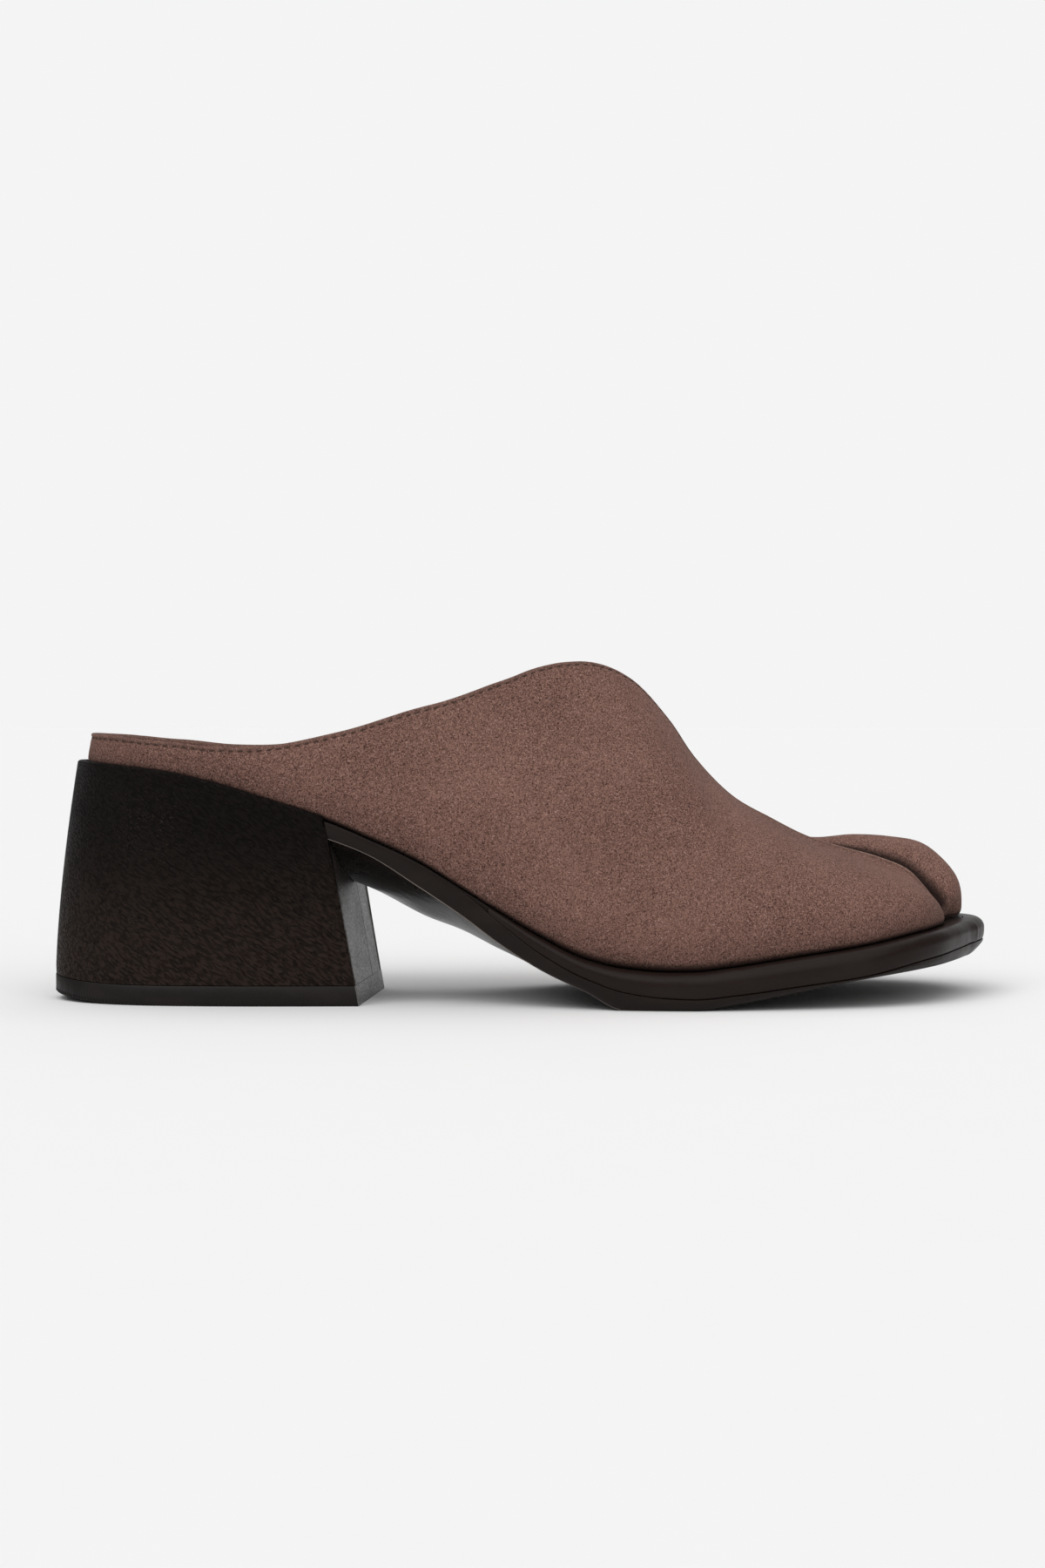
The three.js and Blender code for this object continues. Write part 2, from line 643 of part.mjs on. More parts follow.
function topLiftGeometry() {
  const side = (which, place) => {
    const spot = heelFootSpot(which, place);
    return [at(spot.x, spot.y, liftFloor(spot.x)), at(spot.x, spot.y, liftTop(spot.x))];
  };
  return slab(0, heelRibs, (place) => rungRing(
    place,
    side(outer, place),
    side(inner, place),
    liftFloor,
    liftTop,
  ));
}

const wasm = await Module();
wasm.setup();

function toSolid(geometry) {
  return new wasm.Manifold(new wasm.Mesh({
    numProp: 3,
    vertProperties: new Float32Array(geometry.getAttribute("position").array),
    triVerts: new Uint32Array(geometry.getIndex().array),
  }));
}

function fromSolid(solid) {
  const mesh = solid.getMesh();
  const geometry = new THREE.BufferGeometry();
  geometry.setAttribute("position", new THREE.BufferAttribute(new Float32Array(mesh.vertProperties), 3));
  geometry.setIndex(new THREE.BufferAttribute(new Uint32Array(mesh.triVerts), 1));
  return geometry;
}

// Block with one face on the heel's breast plane; it fills the space ahead of the plane or behind it.
function breastBlock(ahead, gap) {
  const size = shoeLength;
  const block = new THREE.BoxGeometry(size, size, size);
  block.deleteAttribute("normal");
  block.deleteAttribute("uv");
  block.translate((size / 2) * (ahead ? 1 : -1), 0, 0);
  const merged = mergeVertices(block);
  const spots = merged.getAttribute("position");
  for (let k = 0; k < spots.count; k += 1) {
    const y = spots.getY(k);
    const z = spots.getZ(k);
    spots.setX(k, spots.getX(k) + breastFoot + gap + breastSkew * y - breastLean * z);
  }
  return toSolid(merged);
}

const trimmed = (geometry, block) => fromSolid(toSolid(geometry).subtract(block));

const upper = upperGeometry();
const pieces = [
  ["upper", upper.geometry, { color: 0x6f5650, roughness: 0.95 }],
  ["insole", insoleGeometry(upper), { color: 0x4a3a33, roughness: 0.7 }],
  ["outsole", trimmed(outsoleGeometry(), breastBlock(false, fit)), { color: 0x1a1715, roughness: 0.4 }],
  ["welt", weltGeometry(), { color: 0x1a1715, roughness: 0.35 }],
  ["heel_block", trimmed(heelGeometry(), breastBlock(true, 0)), { color: 0x1c1816, roughness: 0.45 }],
  ["top_lift", trimmed(topLiftGeometry(), breastBlock(true, 0)), { color: 0x151312, roughness: 0.6 }],
];

const shoe = new THREE.Group();
const box = new THREE.Box3();
for (const [name, geometry, look] of pieces) {
  geometry.computeVertexNormals();
  geometry.computeBoundingBox();
  box.union(geometry.boundingBox);
  const mesh = new THREE.Mesh(geometry, new THREE.MeshStandardMaterial({ metalness: 0, ...look }));
  mesh.name = name;
  shoe.add(mesh);
}
const middle = box.getCenter(new THREE.Vector3());
shoe.position.set(-middle.x, -middle.y, -box.min.z);

export default shoe;
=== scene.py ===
"""Looks of the block heel mule, a right shoe.

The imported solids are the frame. Each piece here is built again from the same last at a finer step, with its
rolled edges, seams, stitches and soft creases, and gets its own finish. Lengths are millimetres in the shoe's own
space until a mesh is made: X runs from the back of the heel to the toe, Y to the inner side, Z up from the floor.
"""

from __future__ import annotations

import logging
import math
from dataclasses import dataclass, field
from enum import Enum
from typing import Callable, Sequence

import bmesh
import bpy
import numpy as np
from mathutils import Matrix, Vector

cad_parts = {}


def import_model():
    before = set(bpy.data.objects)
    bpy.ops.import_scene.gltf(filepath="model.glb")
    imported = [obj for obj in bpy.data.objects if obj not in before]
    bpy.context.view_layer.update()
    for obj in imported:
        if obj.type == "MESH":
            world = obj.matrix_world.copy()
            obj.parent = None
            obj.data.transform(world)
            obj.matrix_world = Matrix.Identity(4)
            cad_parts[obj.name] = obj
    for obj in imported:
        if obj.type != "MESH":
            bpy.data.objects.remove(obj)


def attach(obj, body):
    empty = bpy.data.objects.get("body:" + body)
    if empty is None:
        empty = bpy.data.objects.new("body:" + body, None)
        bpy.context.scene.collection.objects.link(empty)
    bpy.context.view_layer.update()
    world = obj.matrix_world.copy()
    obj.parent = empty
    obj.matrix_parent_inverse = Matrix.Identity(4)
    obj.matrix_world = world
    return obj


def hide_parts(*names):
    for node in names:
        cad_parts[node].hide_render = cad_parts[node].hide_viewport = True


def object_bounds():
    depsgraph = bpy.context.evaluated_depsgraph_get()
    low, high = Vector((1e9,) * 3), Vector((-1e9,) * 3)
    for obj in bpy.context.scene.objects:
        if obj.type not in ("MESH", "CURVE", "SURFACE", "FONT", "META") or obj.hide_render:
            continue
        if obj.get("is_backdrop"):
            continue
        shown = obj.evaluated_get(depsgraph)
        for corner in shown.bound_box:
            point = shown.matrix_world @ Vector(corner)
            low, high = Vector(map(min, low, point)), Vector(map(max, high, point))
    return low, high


LOG = logging.getLogger("mule")
MM = 0.001
Spot = np.ndarray
Height = Callable[[float, float], float]

RIBS = """
outX   inX    outY   inY   toBall spineX spineY edgeX  edgeOut edgeIn height outTuck inTuck groove
0.0369 0.0369 0      0     0      0.1018 0      0.0408 0       0      0.108  0       0      0
0.0470 0.0470 0.205  0.205 0      0.1048 0      0.0494 0.188   0.188  0.108  0       0      0
0.0725 0.0725 0.348  0.348 0      0.1136 0      0.0757 0.332   0.332  0.109  0       0      0
0.1176 0.1176 0.455  0.455 0      0.1334 0      0.1196 0.436   0.436  0.110  0       0      0
0.1804 0.1804 0.500  0.491 0      0.1848 -0.004 0.1804 0.475   0.468  0.133  0       0      0
0.2431 0.2431 0.505  0.482 0      0.2431 -0.011 0.2392 0.482   0.468  0.199  0       0      0
0.3059 0.3059 0.484  0.444 0.05   0.3064 -0.020 0.2981 0.481   0.458  0.304  0       0      0
0.3686 0.3686 0.457  0.407 0.15   0.3686 -0.025 0.3569 0.452   0.438  0.449  0       0      0
0.4314 0.4314 0.438  0.391 0.30   0.4319 -0.023 0.4157 0.398   0.410  0.622  0       0      0
0.4941 0.4941 0.433  0.414 0.50   0.4941 -0.010 0.4746 0.321   0.363  0.817  0       0      0
0.5569 0.5569 0.437  0.470 0.70   0.5564 0.017  0.5254 0.245   0.311  0.980  0       0      0
0.6196 0.6196 0.433  0.522 0.87   0.6196 0.044  0.5686 0.174   0.259  1.031  0       0      0
0.6667 0.6667 0.425  0.555 0.96   0.6671 0.065  0.6117 0.090   0.209  0.978  0       0      0
0.7059 0.7059 0.413  0.575 1      0.7056 0.081  0.6471 0.006   0.152  0.848  0       0      0
0.7372 0.7372 0.405  0.589 1      0.7372 0.092  0.6824 -0.081  0.081  0.671  0       0      0.22
0.7765 0.7765 0.387  0.598 1      0.7768 0.105  0.7216 -0.095  0.095  0.522  0       0      0.22
0.8157 0.8157 0.361  0.595 1      0.8104 0.117  0.7647 -0.102  0.102  0.424  0       0      0.24
0.8549 0.8549 0.321  0.583 1      0.8351 0.128  0.8039 -0.107  0.107  0.342  0       0      0.34
0.8902 0.8980 0.260  0.557 1      0.8509 0.133  0.8432 -0.107  0.107  0.282  0       0      0.55
0.9192 0.9357 0.176  0.506 1      0.8627 0.135  0.8784 -0.107  0.107  0.236  0       0      0.80
0.9404 0.9631 0.065  0.423 1      0.8726 0.133  0.9084 -0.102  0.102  0.188  0       0      1.00
0.9522 0.9792 -0.006 0.310 1      0.8805 0.131  0.9276 -0.100  0.100  0.126  0.28    0.12   0.90
0.9604 0.9808 -0.060 0.208 1      0.8864 0.126  0.9436 -0.096  0.096  0.054  0.55    0.45   0.40
0.9698 0.9698 -0.113 0.113 1      0.8904 0.124  0.9482 -0.095  0.095  0      1       1      0
"""

FULLNESS = """
rise crest  flare reach inRise inCrest inFlare inReach push
0.33 -0.33  0.003 0     0.33   -0.33   0.003   0       0
0.33 -0.33  0.003 0     0.33   -0.33   0.003   0       0
0.33 -0.33  0.004 0.003 0.33   -0.33   0.004   0.003   0
0.33 -0.33  0.006 0.006 0.33   -0.33   0.006   0.006   0
0.33 -0.33  0.010 0.008 0.33   -0.33   0.010   0.008   0
0.33 -0.33  0.018 0.012 0.33   -0.33   0.016   0.010   0
0.33 -0.33  0.028 0.016 0.33   -0.33   0.026   0.012   0
0.34 -0.33  0.036 0.022 0.34   -0.33   0.036   0.020   0
0.35 -0.33  0.046 0.040 0.35   -0.33   0.046   0.036   0
0.36 -0.31  0.058 0.075 0.36   -0.31   0.056   0.064   0
0.37 -0.29  0.068 0.115 0.37   -0.29   0.060   0.102   0
0.36 -0.22  0.068 0.155 0.36   -0.22   0.055   0.140   0
0.36 -0.14  0.064 0.185 0.36   -0.14   0.050   0.170   0
0.37 -0.09  0.060 0.205 0.38   -0.09   0.045   0.190   0
0.43 -0.05  0.056 0.215 0.44   -0.04   0.042   0.210   0
0.51 -0.04  0.053 0.218 0.53   -0.01   0.040   0.210   0
0.59 -0.07  0.050 0.203 0.66   0.05    0.036   0.200   0
0.70 -0.14  0.047 0.180 0.80   0.18    0.033   0.150   0
0.82 -0.24  0.044 0.150 1.09   0.56    0.030   0.080   0
0.84 -0.34  0.034 0.112 1.25   0.92    0.026   0.060   0
0.64 -0.36  0.014 0.064 1.36   1.36    0.022   0.050   0.016
0.34 -0.30  0     0.030 1.33   1.52    0.016   0.036   0.039
0.24 -0.20  0     0.010 1.90   1.60    0.010   0.024   0.024
0.75 0      0     0     1.90   1.60    0       0       0
"""

PROFILE = """
at    seat  spring under toeUnder keel bead reach
0.000 1.012 0      1.02  0        1    0.06 0
0.037 1.000 0      1.00  0        1    0.06 0
0.126 0.957 0      0.98  0        1    0.06 0
0.181 0.900 0      0.96  0        1    0.06 0
0.235 0.821 0      0.915 0        1    0.06 0
0.298 0.724 0      0.823 0        1    0.06 0
0.338 0.643 0      0.747 0        0.97 0.06 0
0.389 0.529 0      0.593 0        0.84 0.06 0
0.434 0.398 0      0.450 0        0.56 0.10 0.03
0.475 0.276 0      0.308 0        0.35 0.36 0.28
0.519 0.155 0      0.180 0        0.13 0.58 0.60
0.561 0.060 0      0.088 0        0.03 0.65 0.82
0.600 0.017 0      0     0        0    0.80 0.93
0.642 0.001 0      0     0        0    0.87 0.98
0.672 0     0.008  0     0        0    0.91 1
0.709 0     0.103  0     0.130    0    0.93 1
0.776 0     0.336  0     0.420    0    0.97 1
0.844 0     0.561  0     0.700    0    1    1
0.918 0     0.860  0     0.900    0    0.92 1
0.976 0     1.000  0     1.010    0    0.85 1
1.000 0     1.030  0     1.220    0    0.82 1
"""

# Soft creases and swells of the suede, each a line in side view. x and z are its ends in millimetres, half is
# its half-width, depth how far it sinks (minus stands proud), and hem how far from the top edge and the foot
# line it has its full depth.
CREASES = """
side x     z    toX   toZ  half depth hem
-1   22.3  62.0 22.6  74.0 0.8  0.50  2.2
-1   17.5  64.0 17.8  74.0 0.8  0.30  2.2
-1   30    62.0 34    70.0 2.5  0.15  3
-1   96    56.0 112   66.0 6.0  0.50  9
-1   112   62.0 122   67.0 5.0  0.55  9
-1   128   74.0 146   77.0 7.0  0.45  9
-1   150   72.0 158   56.0 9.0  0.35  9
-1   104   38.0 138   32.0 9.0  0.40  9
-1   120   50.0 150   46.0 10.0 -0.35 9
-1   150   30.0 186   27.0 9.0  0.30  9
-1   188   52.0 206   36.0 7.0  0.30  9
-1   206   38.0 220   26.0 7.0  -0.25 9
-1   60    66.0 90    58.0 6.0  -0.25 6
-1   172   60.0 186   44.0 8.0  -0.25 9
1    20    63.0 20.4  73.0 1.0  0.30  2.5
1    100   58.0 120   68.0 7.0  0.50  9
1    130   72.0 150   74.0 8.0  0.40  9
1    112   40.0 148   32.0 10.0 0.40  9
1    128   52.0 160   46.0 11.0 -0.35 9
1    170   56.0 200   36.0 8.0  0.30  9
1    196   30.0 224   28.0 9.0  -0.25 9
"""


class Side(Enum):
    """The two sides of the shoe; the value is the sign of Y."""

    OUTER = -1
    INNER = 1


def read_table(text: str) -> dict[str, np.ndarray]:
    """Reads a table with a row of names on top.

    Args:
        text: The table, one row a line.

    Returns:
        One array for each named column.
    """
    names, *rows = [line.split() for line in text.strip().split("\n")]
    values = np.array(rows, dtype=float)
    return {name: values[:, column] for column, name in enumerate(names)}


def mix(a: float, b: float, t: float) -> float:
    """Value between a and b at the share t."""
    return a + (b - a) * t


def ease(t: float, low: float = 0.0, high: float = 1.0) -> float:
    """Smooth step from 0 at low to 1 at high."""
    t = min(1.0, max(0.0, (t - low) / (high - low)))
    return t * t * (3 - 2 * t)


def ease_all(t: np.ndarray, low: float, high: float) -> np.ndarray:
    """Smooth step of every value of an array."""
    t = np.clip((t - low) / (high - low), 0, 1)
    return t * t * (3 - 2 * t)


def unit(v: np.ndarray) -> np.ndarray:
    """The same direction with a length of one."""
    return v / np.maximum(np.linalg.norm(v, axis=-1, keepdims=True), 1e-12)


def through(values: np.ndarray, place: float, before: float, after: float) -> float:
    """Smooth curve through evenly spaced values.

    Args:
        values: The values at 0, 1, 2 and so on.
        place: Where the curve is read.
        before: Value ahead of the first one.
        after: Value past the last one.

    Returns:
        The curve's value.
    """
    low = min(len(values) - 2, max(0, math.floor(place)))
    t = place - low
    a = values[low - 1] if low > 0 else before
    b, c = values[low], values[low + 1]
    d = values[low + 2] if low + 2 < len(values) else after
    slope_b, slope_c = (c - a) / 2, (d - b) / 2
    bend = 3 * (c - b) - 2 * slope_b - slope_c
    return b + t * (slope_b + t * (bend + t * (2 * (b - c) + slope_b + slope_c)))


@dataclass
class Last:
    """The mule's last: foot line, top edge, sole heights and the rib curves between them."""

    shoe_length: float = 255.0
    ball_width: float = 84.0
    heel_width: float = 56.0
    seat_height: float = 63.3
    sole_depth: float = 10.0
    toe_spring: float = 10.7
    vamp_height: float = 78.0
    cleft_depth: float = 5.5
    cleft_tuck: float = 5.5
    keel_depth: float = 11.2
    keel_place: float = 0.24
    belly_power: float = 1.6
    bead_height: float = 7.8
    fit: float = 0.3
    throat: int = 14
    breast_foot: float = 86.0
    breast_lean: float = 0.175
    breast_skew: float = 0.09
    rear_overhang: float = 0.4
    bead_reach: float = 4.6
    shift: Spot = field(default_factory=lambda: np.zeros(3))

    def __post_init__(self) -> None:
        """Reads the tables and closes the foot line's loop."""
        self.rib = {**read_table(RIBS), **read_table(FULLNESS)}
        self.sole = read_table(PROFILE)
        self.end = len(self.rib["outX"]) - 1
        width = self.heel_width + (self.ball_width - self.heel_width) * self.rib["toBall"]
        out_x, out_y = self.shoe_length * self.rib["outX"], -width * self.rib["outY"]
        in_x, in_y = self.shoe_length * self.rib["inX"], width * self.rib["inY"]
        self.loop_x = np.concatenate([out_x, in_x[-2::-1]])
        self.loop_y = np.concatenate([out_y, in_y[-2::-1]])

    def settle(self, low: Vector, high: Vector) -> None:
        """Finds the step from the shoe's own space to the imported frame.

        Args:
            low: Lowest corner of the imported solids, in metres.
            high: Highest corner, in metres.
        """
        widest = self.edge_extent(self.bead_reach)
        self.shift = np.array([low.x / MM - self.rear_overhang, low.y / MM - widest, low.z / MM])
        LOG.info("frame shift %s, box %s to %s", self.shift.round(3), low, high)

    def edge_extent(self, reach: float) -> float:
        """Lowest Y of the foot line with an overhang, at the CAD's own stations."""
        places = np.arange(0, self.end + 0.01, 0.5)
        return min(self.beside(Side.OUTER, float(place), reach)[1] for place in places)

    def rib_value(self, name: str, place: float) -> float:
        """A rib column at any place; it is even about the back's centre line."""
        values = self.rib[name]
        return through(values, place, values[1], 2 * values[-1] - values[-2])

    def edge_share(self, name: str, place: float) -> float:
        """The top edge's share of the width, odd about the back's centre line."""
        values = self.rib[name]
        return through(values, place, -values[1], 2 * values[-1] - values[-2])

    def sole_value(self, name: str, x: float) -> float:
        """A sole column at any x, without overshoot.

        Args:
            name: The column.
            x: Place along the shoe.

        Returns:
            The column's value there.
        """
        share, places, values = x / self.shoe_length, self.sole["at"], self.sole[name]
        last = len(places) - 1

        def secant(k: int) -> float:
            """Slope of the straight line from row k to the next."""
            return (values[k + 1] - values[k]) / (places[k + 1] - places[k])

        def slope(k: int) -> float:
            """Slope of the curve at a row.

            Args:
                k: The row.

            Returns:
                The slope, level where the rows turn back.
            """
            if k in (0, last):
                return secant(0 if k == 0 else last - 1)
            before, after = secant(k - 1), secant(k)
            return 0.0 if before * after <= 0 else 2 * before * after / (before + after)

        if share >= places[last]:
            return values[last] + slope(last) * (share - places[last])
        k = max(0, int(np.searchsorted(places, share, side="left")) - 1)
        span = places[k + 1] - places[k]
        t = (share - places[k]) / span
        rise, a, b = values[k + 1] - values[k], slope(k) * span, slope(k + 1) * span
        return values[k] + t * (a + t * (3 * rise - 2 * a - b + t * (a + b - 2 * rise)))

    def foot_line(self, x: float) -> float:
        """Height of the line where upper meets sole."""
        lift = (self.seat_height - self.sole_depth) * self.sole_value("seat", x)
        return self.sole_depth + lift + self.toe_spring * self.sole_value("spring", x)

    def under_line(self, x: float) -> float:
        """Height of the sole's underside at its edges."""
        lift = (self.seat_height - self.sole_depth) * self.sole_value("under", x)
        return lift + self.toe_spring * self.sole_value("toeUnder", x)

    def seat_top(self, x: float) -> float:
        """Height of the top of what lies under the upper."""
        return self.foot_line(x) - self.fit

    def ledge_line(self, x: float) -> float:
        """Height of the outsole's ledge under the welt."""
        return self.foot_line(x) - self.bead_height * self.sole_value("bead", x)

    def belly(self, x: float, across: float) -> float:
        """How far the keeled waist hangs under its edges.

        Args:
            x: Place along the shoe.
            across: Share across, from -1 at the outer edge to 1 at the inner one.

        Returns:
            The depth in millimetres.
        """
        span = self.keel_place + 1 if across < self.keel_place else 1 - self.keel_place
        away = abs(across - self.keel_place) / span
        return self.keel_depth * self.sole_value("keel", x) * (1 - away**self.belly_power)

    def loop_point(self, place: float) -> Spot:
        """Point of the closed foot line in plan.

        Args:
            place: Place on the loop, out along the outer side and back along the inner one.

        Returns:
            Its x and y.
        """
        x = through(self.loop_x, place, self.loop_x[-2], self.loop_x[1])
        y = through(self.loop_y, place, self.loop_y[-2], self.loop_y[1])
        return np.array([x, y])

    def foot_point(self, side: Side, place: float) -> tuple[Spot, Spot]:
        """Foot line point of one side and the outward direction there.

        Args:
            side: Side of the shoe.
            place: Rib place.

        Returns:
            The point and the direction, both in plan.
        """
        end, step = 2 * self.end, 0.01
        on_loop = place if side is Side.OUTER else end - place
        along = self.loop_point(min(on_loop + step, end)) - self.loop_point(max(on_loop - step, 0))
        if on_loop < step or on_loop > end - step:
            along = np.array([0.0, -1.0])
        along = unit(along)
        return self.loop_point(on_loop), np.array([along[1], -along[0]])

    def beside(self, side: Side, place: float, offset: float) -> Spot:
        """Plan point at an offset past the foot line."""
        spot, out = self.foot_point(side, place)
        return spot + out * offset

    def beside_at(self, side: Side, place: float, offset: float, height: Callable[[float], float]) -> Spot:
        """The same point at the height that belongs to its x."""
        x, y = self.beside(side, place, offset)
        return np.array([x, y, height(x)])

    def width_at(self, place: float) -> float:
        """Width between the heel's and the ball's."""
        return mix(self.heel_width, self.ball_width, min(1.0, max(0.0, self.rib_value("toBall", place))))

    def spine_point(self, place: float) -> Spot:
        """Plan point of the middle of the sole."""
        across = self.width_at(place) * self.rib_value("spineY", place)
        return np.array([self.shoe_length * self.rib_value("spineX", place), across])

    def foot(self, side: Side, place: float) -> Spot:
        """Where the upper's outer face meets the sole."""
        tuck = self.rib_value("outTuck" if side is Side.OUTER else "inTuck", place)
        return self.beside_at(side, place, -self.cleft_tuck * min(1.0, max(0.0, tuck)), self.foot_line)

    def edge_point(self, side: Side, place: float) -> Spot:
        """Top edge of one side, before the cleft's groove.

        Args:
            side: Side of the shoe.
            place: Rib place.

        Returns:
            The point.
        """
        share = self.edge_share("edgeOut" if side is Side.OUTER else "edgeIn", place)
        x = self.shoe_length * self.rib_value("edgeX", place)
        height = self.vamp_height * self.rib_value("height", place)
        return np.array([x, side.value * self.width_at(place) * share, self.foot(side, place)[2] + height])

    def seam_inward(self, place: float) -> Spot:
        """Direction into the shoe, square to the centre seam's run.

        Args:
            place: Rib place ahead of the throat.

        Returns:
            The direction.
        """
        step = 0.05
        ahead = self.edge_point(Side.OUTER, min(place + step, self.end))
        run = ahead - self.edge_point(Side.OUTER, max(place - step, self.throat))
        return unit(np.array([run[2], 0.0, -run[0]]))

    def groove_depth(self, place: float) -> float:
        """Depth of the inner panel under the outer panel's folded edge."""
        return self.cleft_depth * min(1.0, max(0.0, self.rib_value("groove", place)))

    def groove_point(self, place: float) -> Spot:
        """Where the inner panel ends under the folded edge."""
        return self.edge_point(Side.OUTER, place) + self.seam_inward(place) * self.groove_depth(place)

    def rib_curve(self, side: Side, place: float) -> np.ndarray:
        """Handles of the outer face's curve from foot line to top edge.

        Args:
            side: Side of the shoe.
            place: Rib place.

        Returns:
            Four points of a cubic curve.
        """
        outer = side is Side.OUTER
        low = self.foot(side, place)
        height = self.vamp_height * self.rib_value("height", place)
        high = self.edge_point(side, place) if outer or place < self.throat else self.groove_point(place)
        out = self.foot_point(side, place)[1]
        flare = self.ball_width * self.rib_value("flare" if outer else "inFlare", place)
        reach = self.ball_width * self.rib_value("reach" if outer else "inReach", place)
        push = 0.0 if outer else self.shoe_length * self.rib_value("push", place)
        rise = height * self.rib_value("rise" if outer else "inRise", place)
        crest = height * self.rib_value("crest" if outer else "inCrest", place)
        low_handle = low + np.array([out[0] * flare, out[1] * flare, rise])
        high_handle = high + np.array([push, side.value * reach, crest])
        return np.array([low, low_handle, high_handle, high])

    def rung(
        self, place: float, sides: tuple[np.ndarray, np.ndarray], under: Height, over: Height, steps: int
    ) -> np.ndarray:
        """Ring across the sole: underside, outer side, top and inner side.

        Args:
            place: Rib place.
            sides: Points of the outer and the inner side, from the bottom up.
            under: Height of the underside by x and share across.
            over: Height of the top, in the same way.
            steps: Points from the middle to an edge.

        Returns:
            The ring's points.
        """
        spine = self.spine_point(place)
        out_side, in_side = sides

        def line(out_edge: Spot, in_edge: Spot, height: Height) -> list[Spot]:
            """Points between the two edges, from inner to outer.

            Args:
                out_edge: Point at the outer edge.
                in_edge: Point at the inner edge.
                height: Height by x and share across.

            Returns:
                The points.
            """
            spots = []
            halves = ((1, in_edge, range(steps - 1, 0, -1)), (-1, out_edge, range(steps)))
            for side, edge, order in halves:
                for k in order:
                    share = k / steps
                    x, y = mix(spine[0], edge[0], share), mix(spine[1], edge[1], share)
                    spots.append(np.array([x, y, height(x, side * share)]))
            return spots

        bottom = line(out_side[0], in_side[0], under)
        top = line(out_side[-1], in_side[-1], over)
        return np.array([*bottom, *out_side, *top[::-1], *in_side[::-1]])


class Skin:
    """Rings of points joined into one closed mesh, with a finish and shading masks for each point."""

    def __init__(self) -> None:
        """Starts empty."""
        self.spots: list[np.ndarray] = []
        self.faces: list[tuple[int, ...]] = []
        self.slots: list[int] = []
        self.masks: dict[str, list[np.ndarray]] = {}
        self.count = 0

    def add(self, spots: np.ndarray, **masks: np.ndarray) -> np.ndarray:
        """Adds points.

        Args:
            spots: Points in millimetres.
            **masks: A value from 0 to 1 for each point, by mask name.

        Returns:
            Their numbers in the mesh.
        """
        known = set(self.masks) | set(masks)
        for name in known:
            self.masks.setdefault(name, [np.zeros(self.count)] if self.count else [])
            self.masks[name].append(np.asarray(masks.get(name, np.zeros(len(spots))), dtype=float))
        self.spots.append(np.asarray(spots, dtype=float))
        numbers = np.arange(self.count, self.count + len(spots))
        self.count += len(spots)
        return numbers

    def band(self, ring_a: np.ndarray, ring_b: np.ndarray, slots: Sequence[int] | int = 0) -> None:
        """Joins two closed rings of as many points.

        Args:
            ring_a: Point numbers of the first ring.
            ring_b: Point numbers of the second.
            slots: Finish of each stretch, or one for all.
        """
        count = len(ring_a)
        for k in range(count):
            n = (k + 1) % count
            self.faces.append((int(ring_a[k]), int(ring_a[n]), int(ring_b[n]), int(ring_b[k])))
            self.slots.append(slots if isinstance(slots, int) else int(slots[k]))

    def cap(self, ring: np.ndarray) -> None:
        """Closes a ring with one face of the first finish."""
        self.faces.append(tuple(int(k) for k in ring))
        self.slots.append(0)

    def piece(
        self, name: str, last: Last, finishes: Sequence[bpy.types.Material], sharp: float = 38.0
    ) -> "Piece":
        """Makes the Blender object.

        Args:
            name: The piece's name.
            last: The last, for its place in the frame.
            finishes: Materials, in the order of the slots.
            sharp: Edges over this angle in degrees stay sharp.

        Returns:
            The piece, cleaned and smooth.
        """
        mesh = bpy.data.meshes.new(name)
        spots = (np.concatenate(self.spots) + last.shift) * MM
        mesh.from_pydata(spots.tolist(), [], self.faces)
        mesh.polygons.foreach_set("material_index", np.array(self.slots, dtype=np.int32))
        for mask, parts in self.masks.items():
            layer = mesh.attributes.new(mask, "FLOAT", "POINT")
            layer.data.foreach_set("value", np.concatenate(parts).astype(np.float32))
        for finish in finishes:
            mesh.materials.append(finish)
        obj = bpy.data.objects.new(name, mesh)
        bpy.context.scene.collection.objects.link(obj)
        made = Piece(obj, sharp)
        made.clean()
        return made


@dataclass
class Piece:
    """One object of the scene."""

    obj: bpy.types.Object
    sharp: float = 38.0
    weld: float = 1e-6

    def clean(self) -> "Piece":
        """Merges points that coincide, turns the faces outwards and shades them smooth.

        Returns:
            The piece itself.
        """
        mesh = self.obj.data
        shell = bmesh.new()
        shell.from_mesh(mesh)
        bmesh.ops.remove_doubles(shell, verts=shell.verts, dist=self.weld)
        bmesh.ops.dissolve_degenerate(shell, dist=self.weld / 2, edges=shell.edges)
        bmesh.ops.recalc_face_normals(shell, faces=shell.faces)
        shell.to_mesh(mesh)
        shell.free()
        self.smooth()
        return self

    def smooth(self) -> None:
        """Shades all faces smooth but for the sharp edges."""
        mesh = self.obj.data
        mesh.shade_smooth()
        mesh.set_sharp_from_angle(angle=math.radians(self.sharp))

    def ride(self, slot: str, *nodes: str) -> "Piece":
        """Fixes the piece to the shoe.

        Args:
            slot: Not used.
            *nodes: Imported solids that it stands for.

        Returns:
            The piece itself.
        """
        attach(self.obj, "root")
        if nodes:
            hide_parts(*nodes)
        faces = len(self.obj.data.polygons)
        LOG.info("%s: %d faces for %s", self.obj.name, faces, ", ".join(nodes) or "trim")
        return self


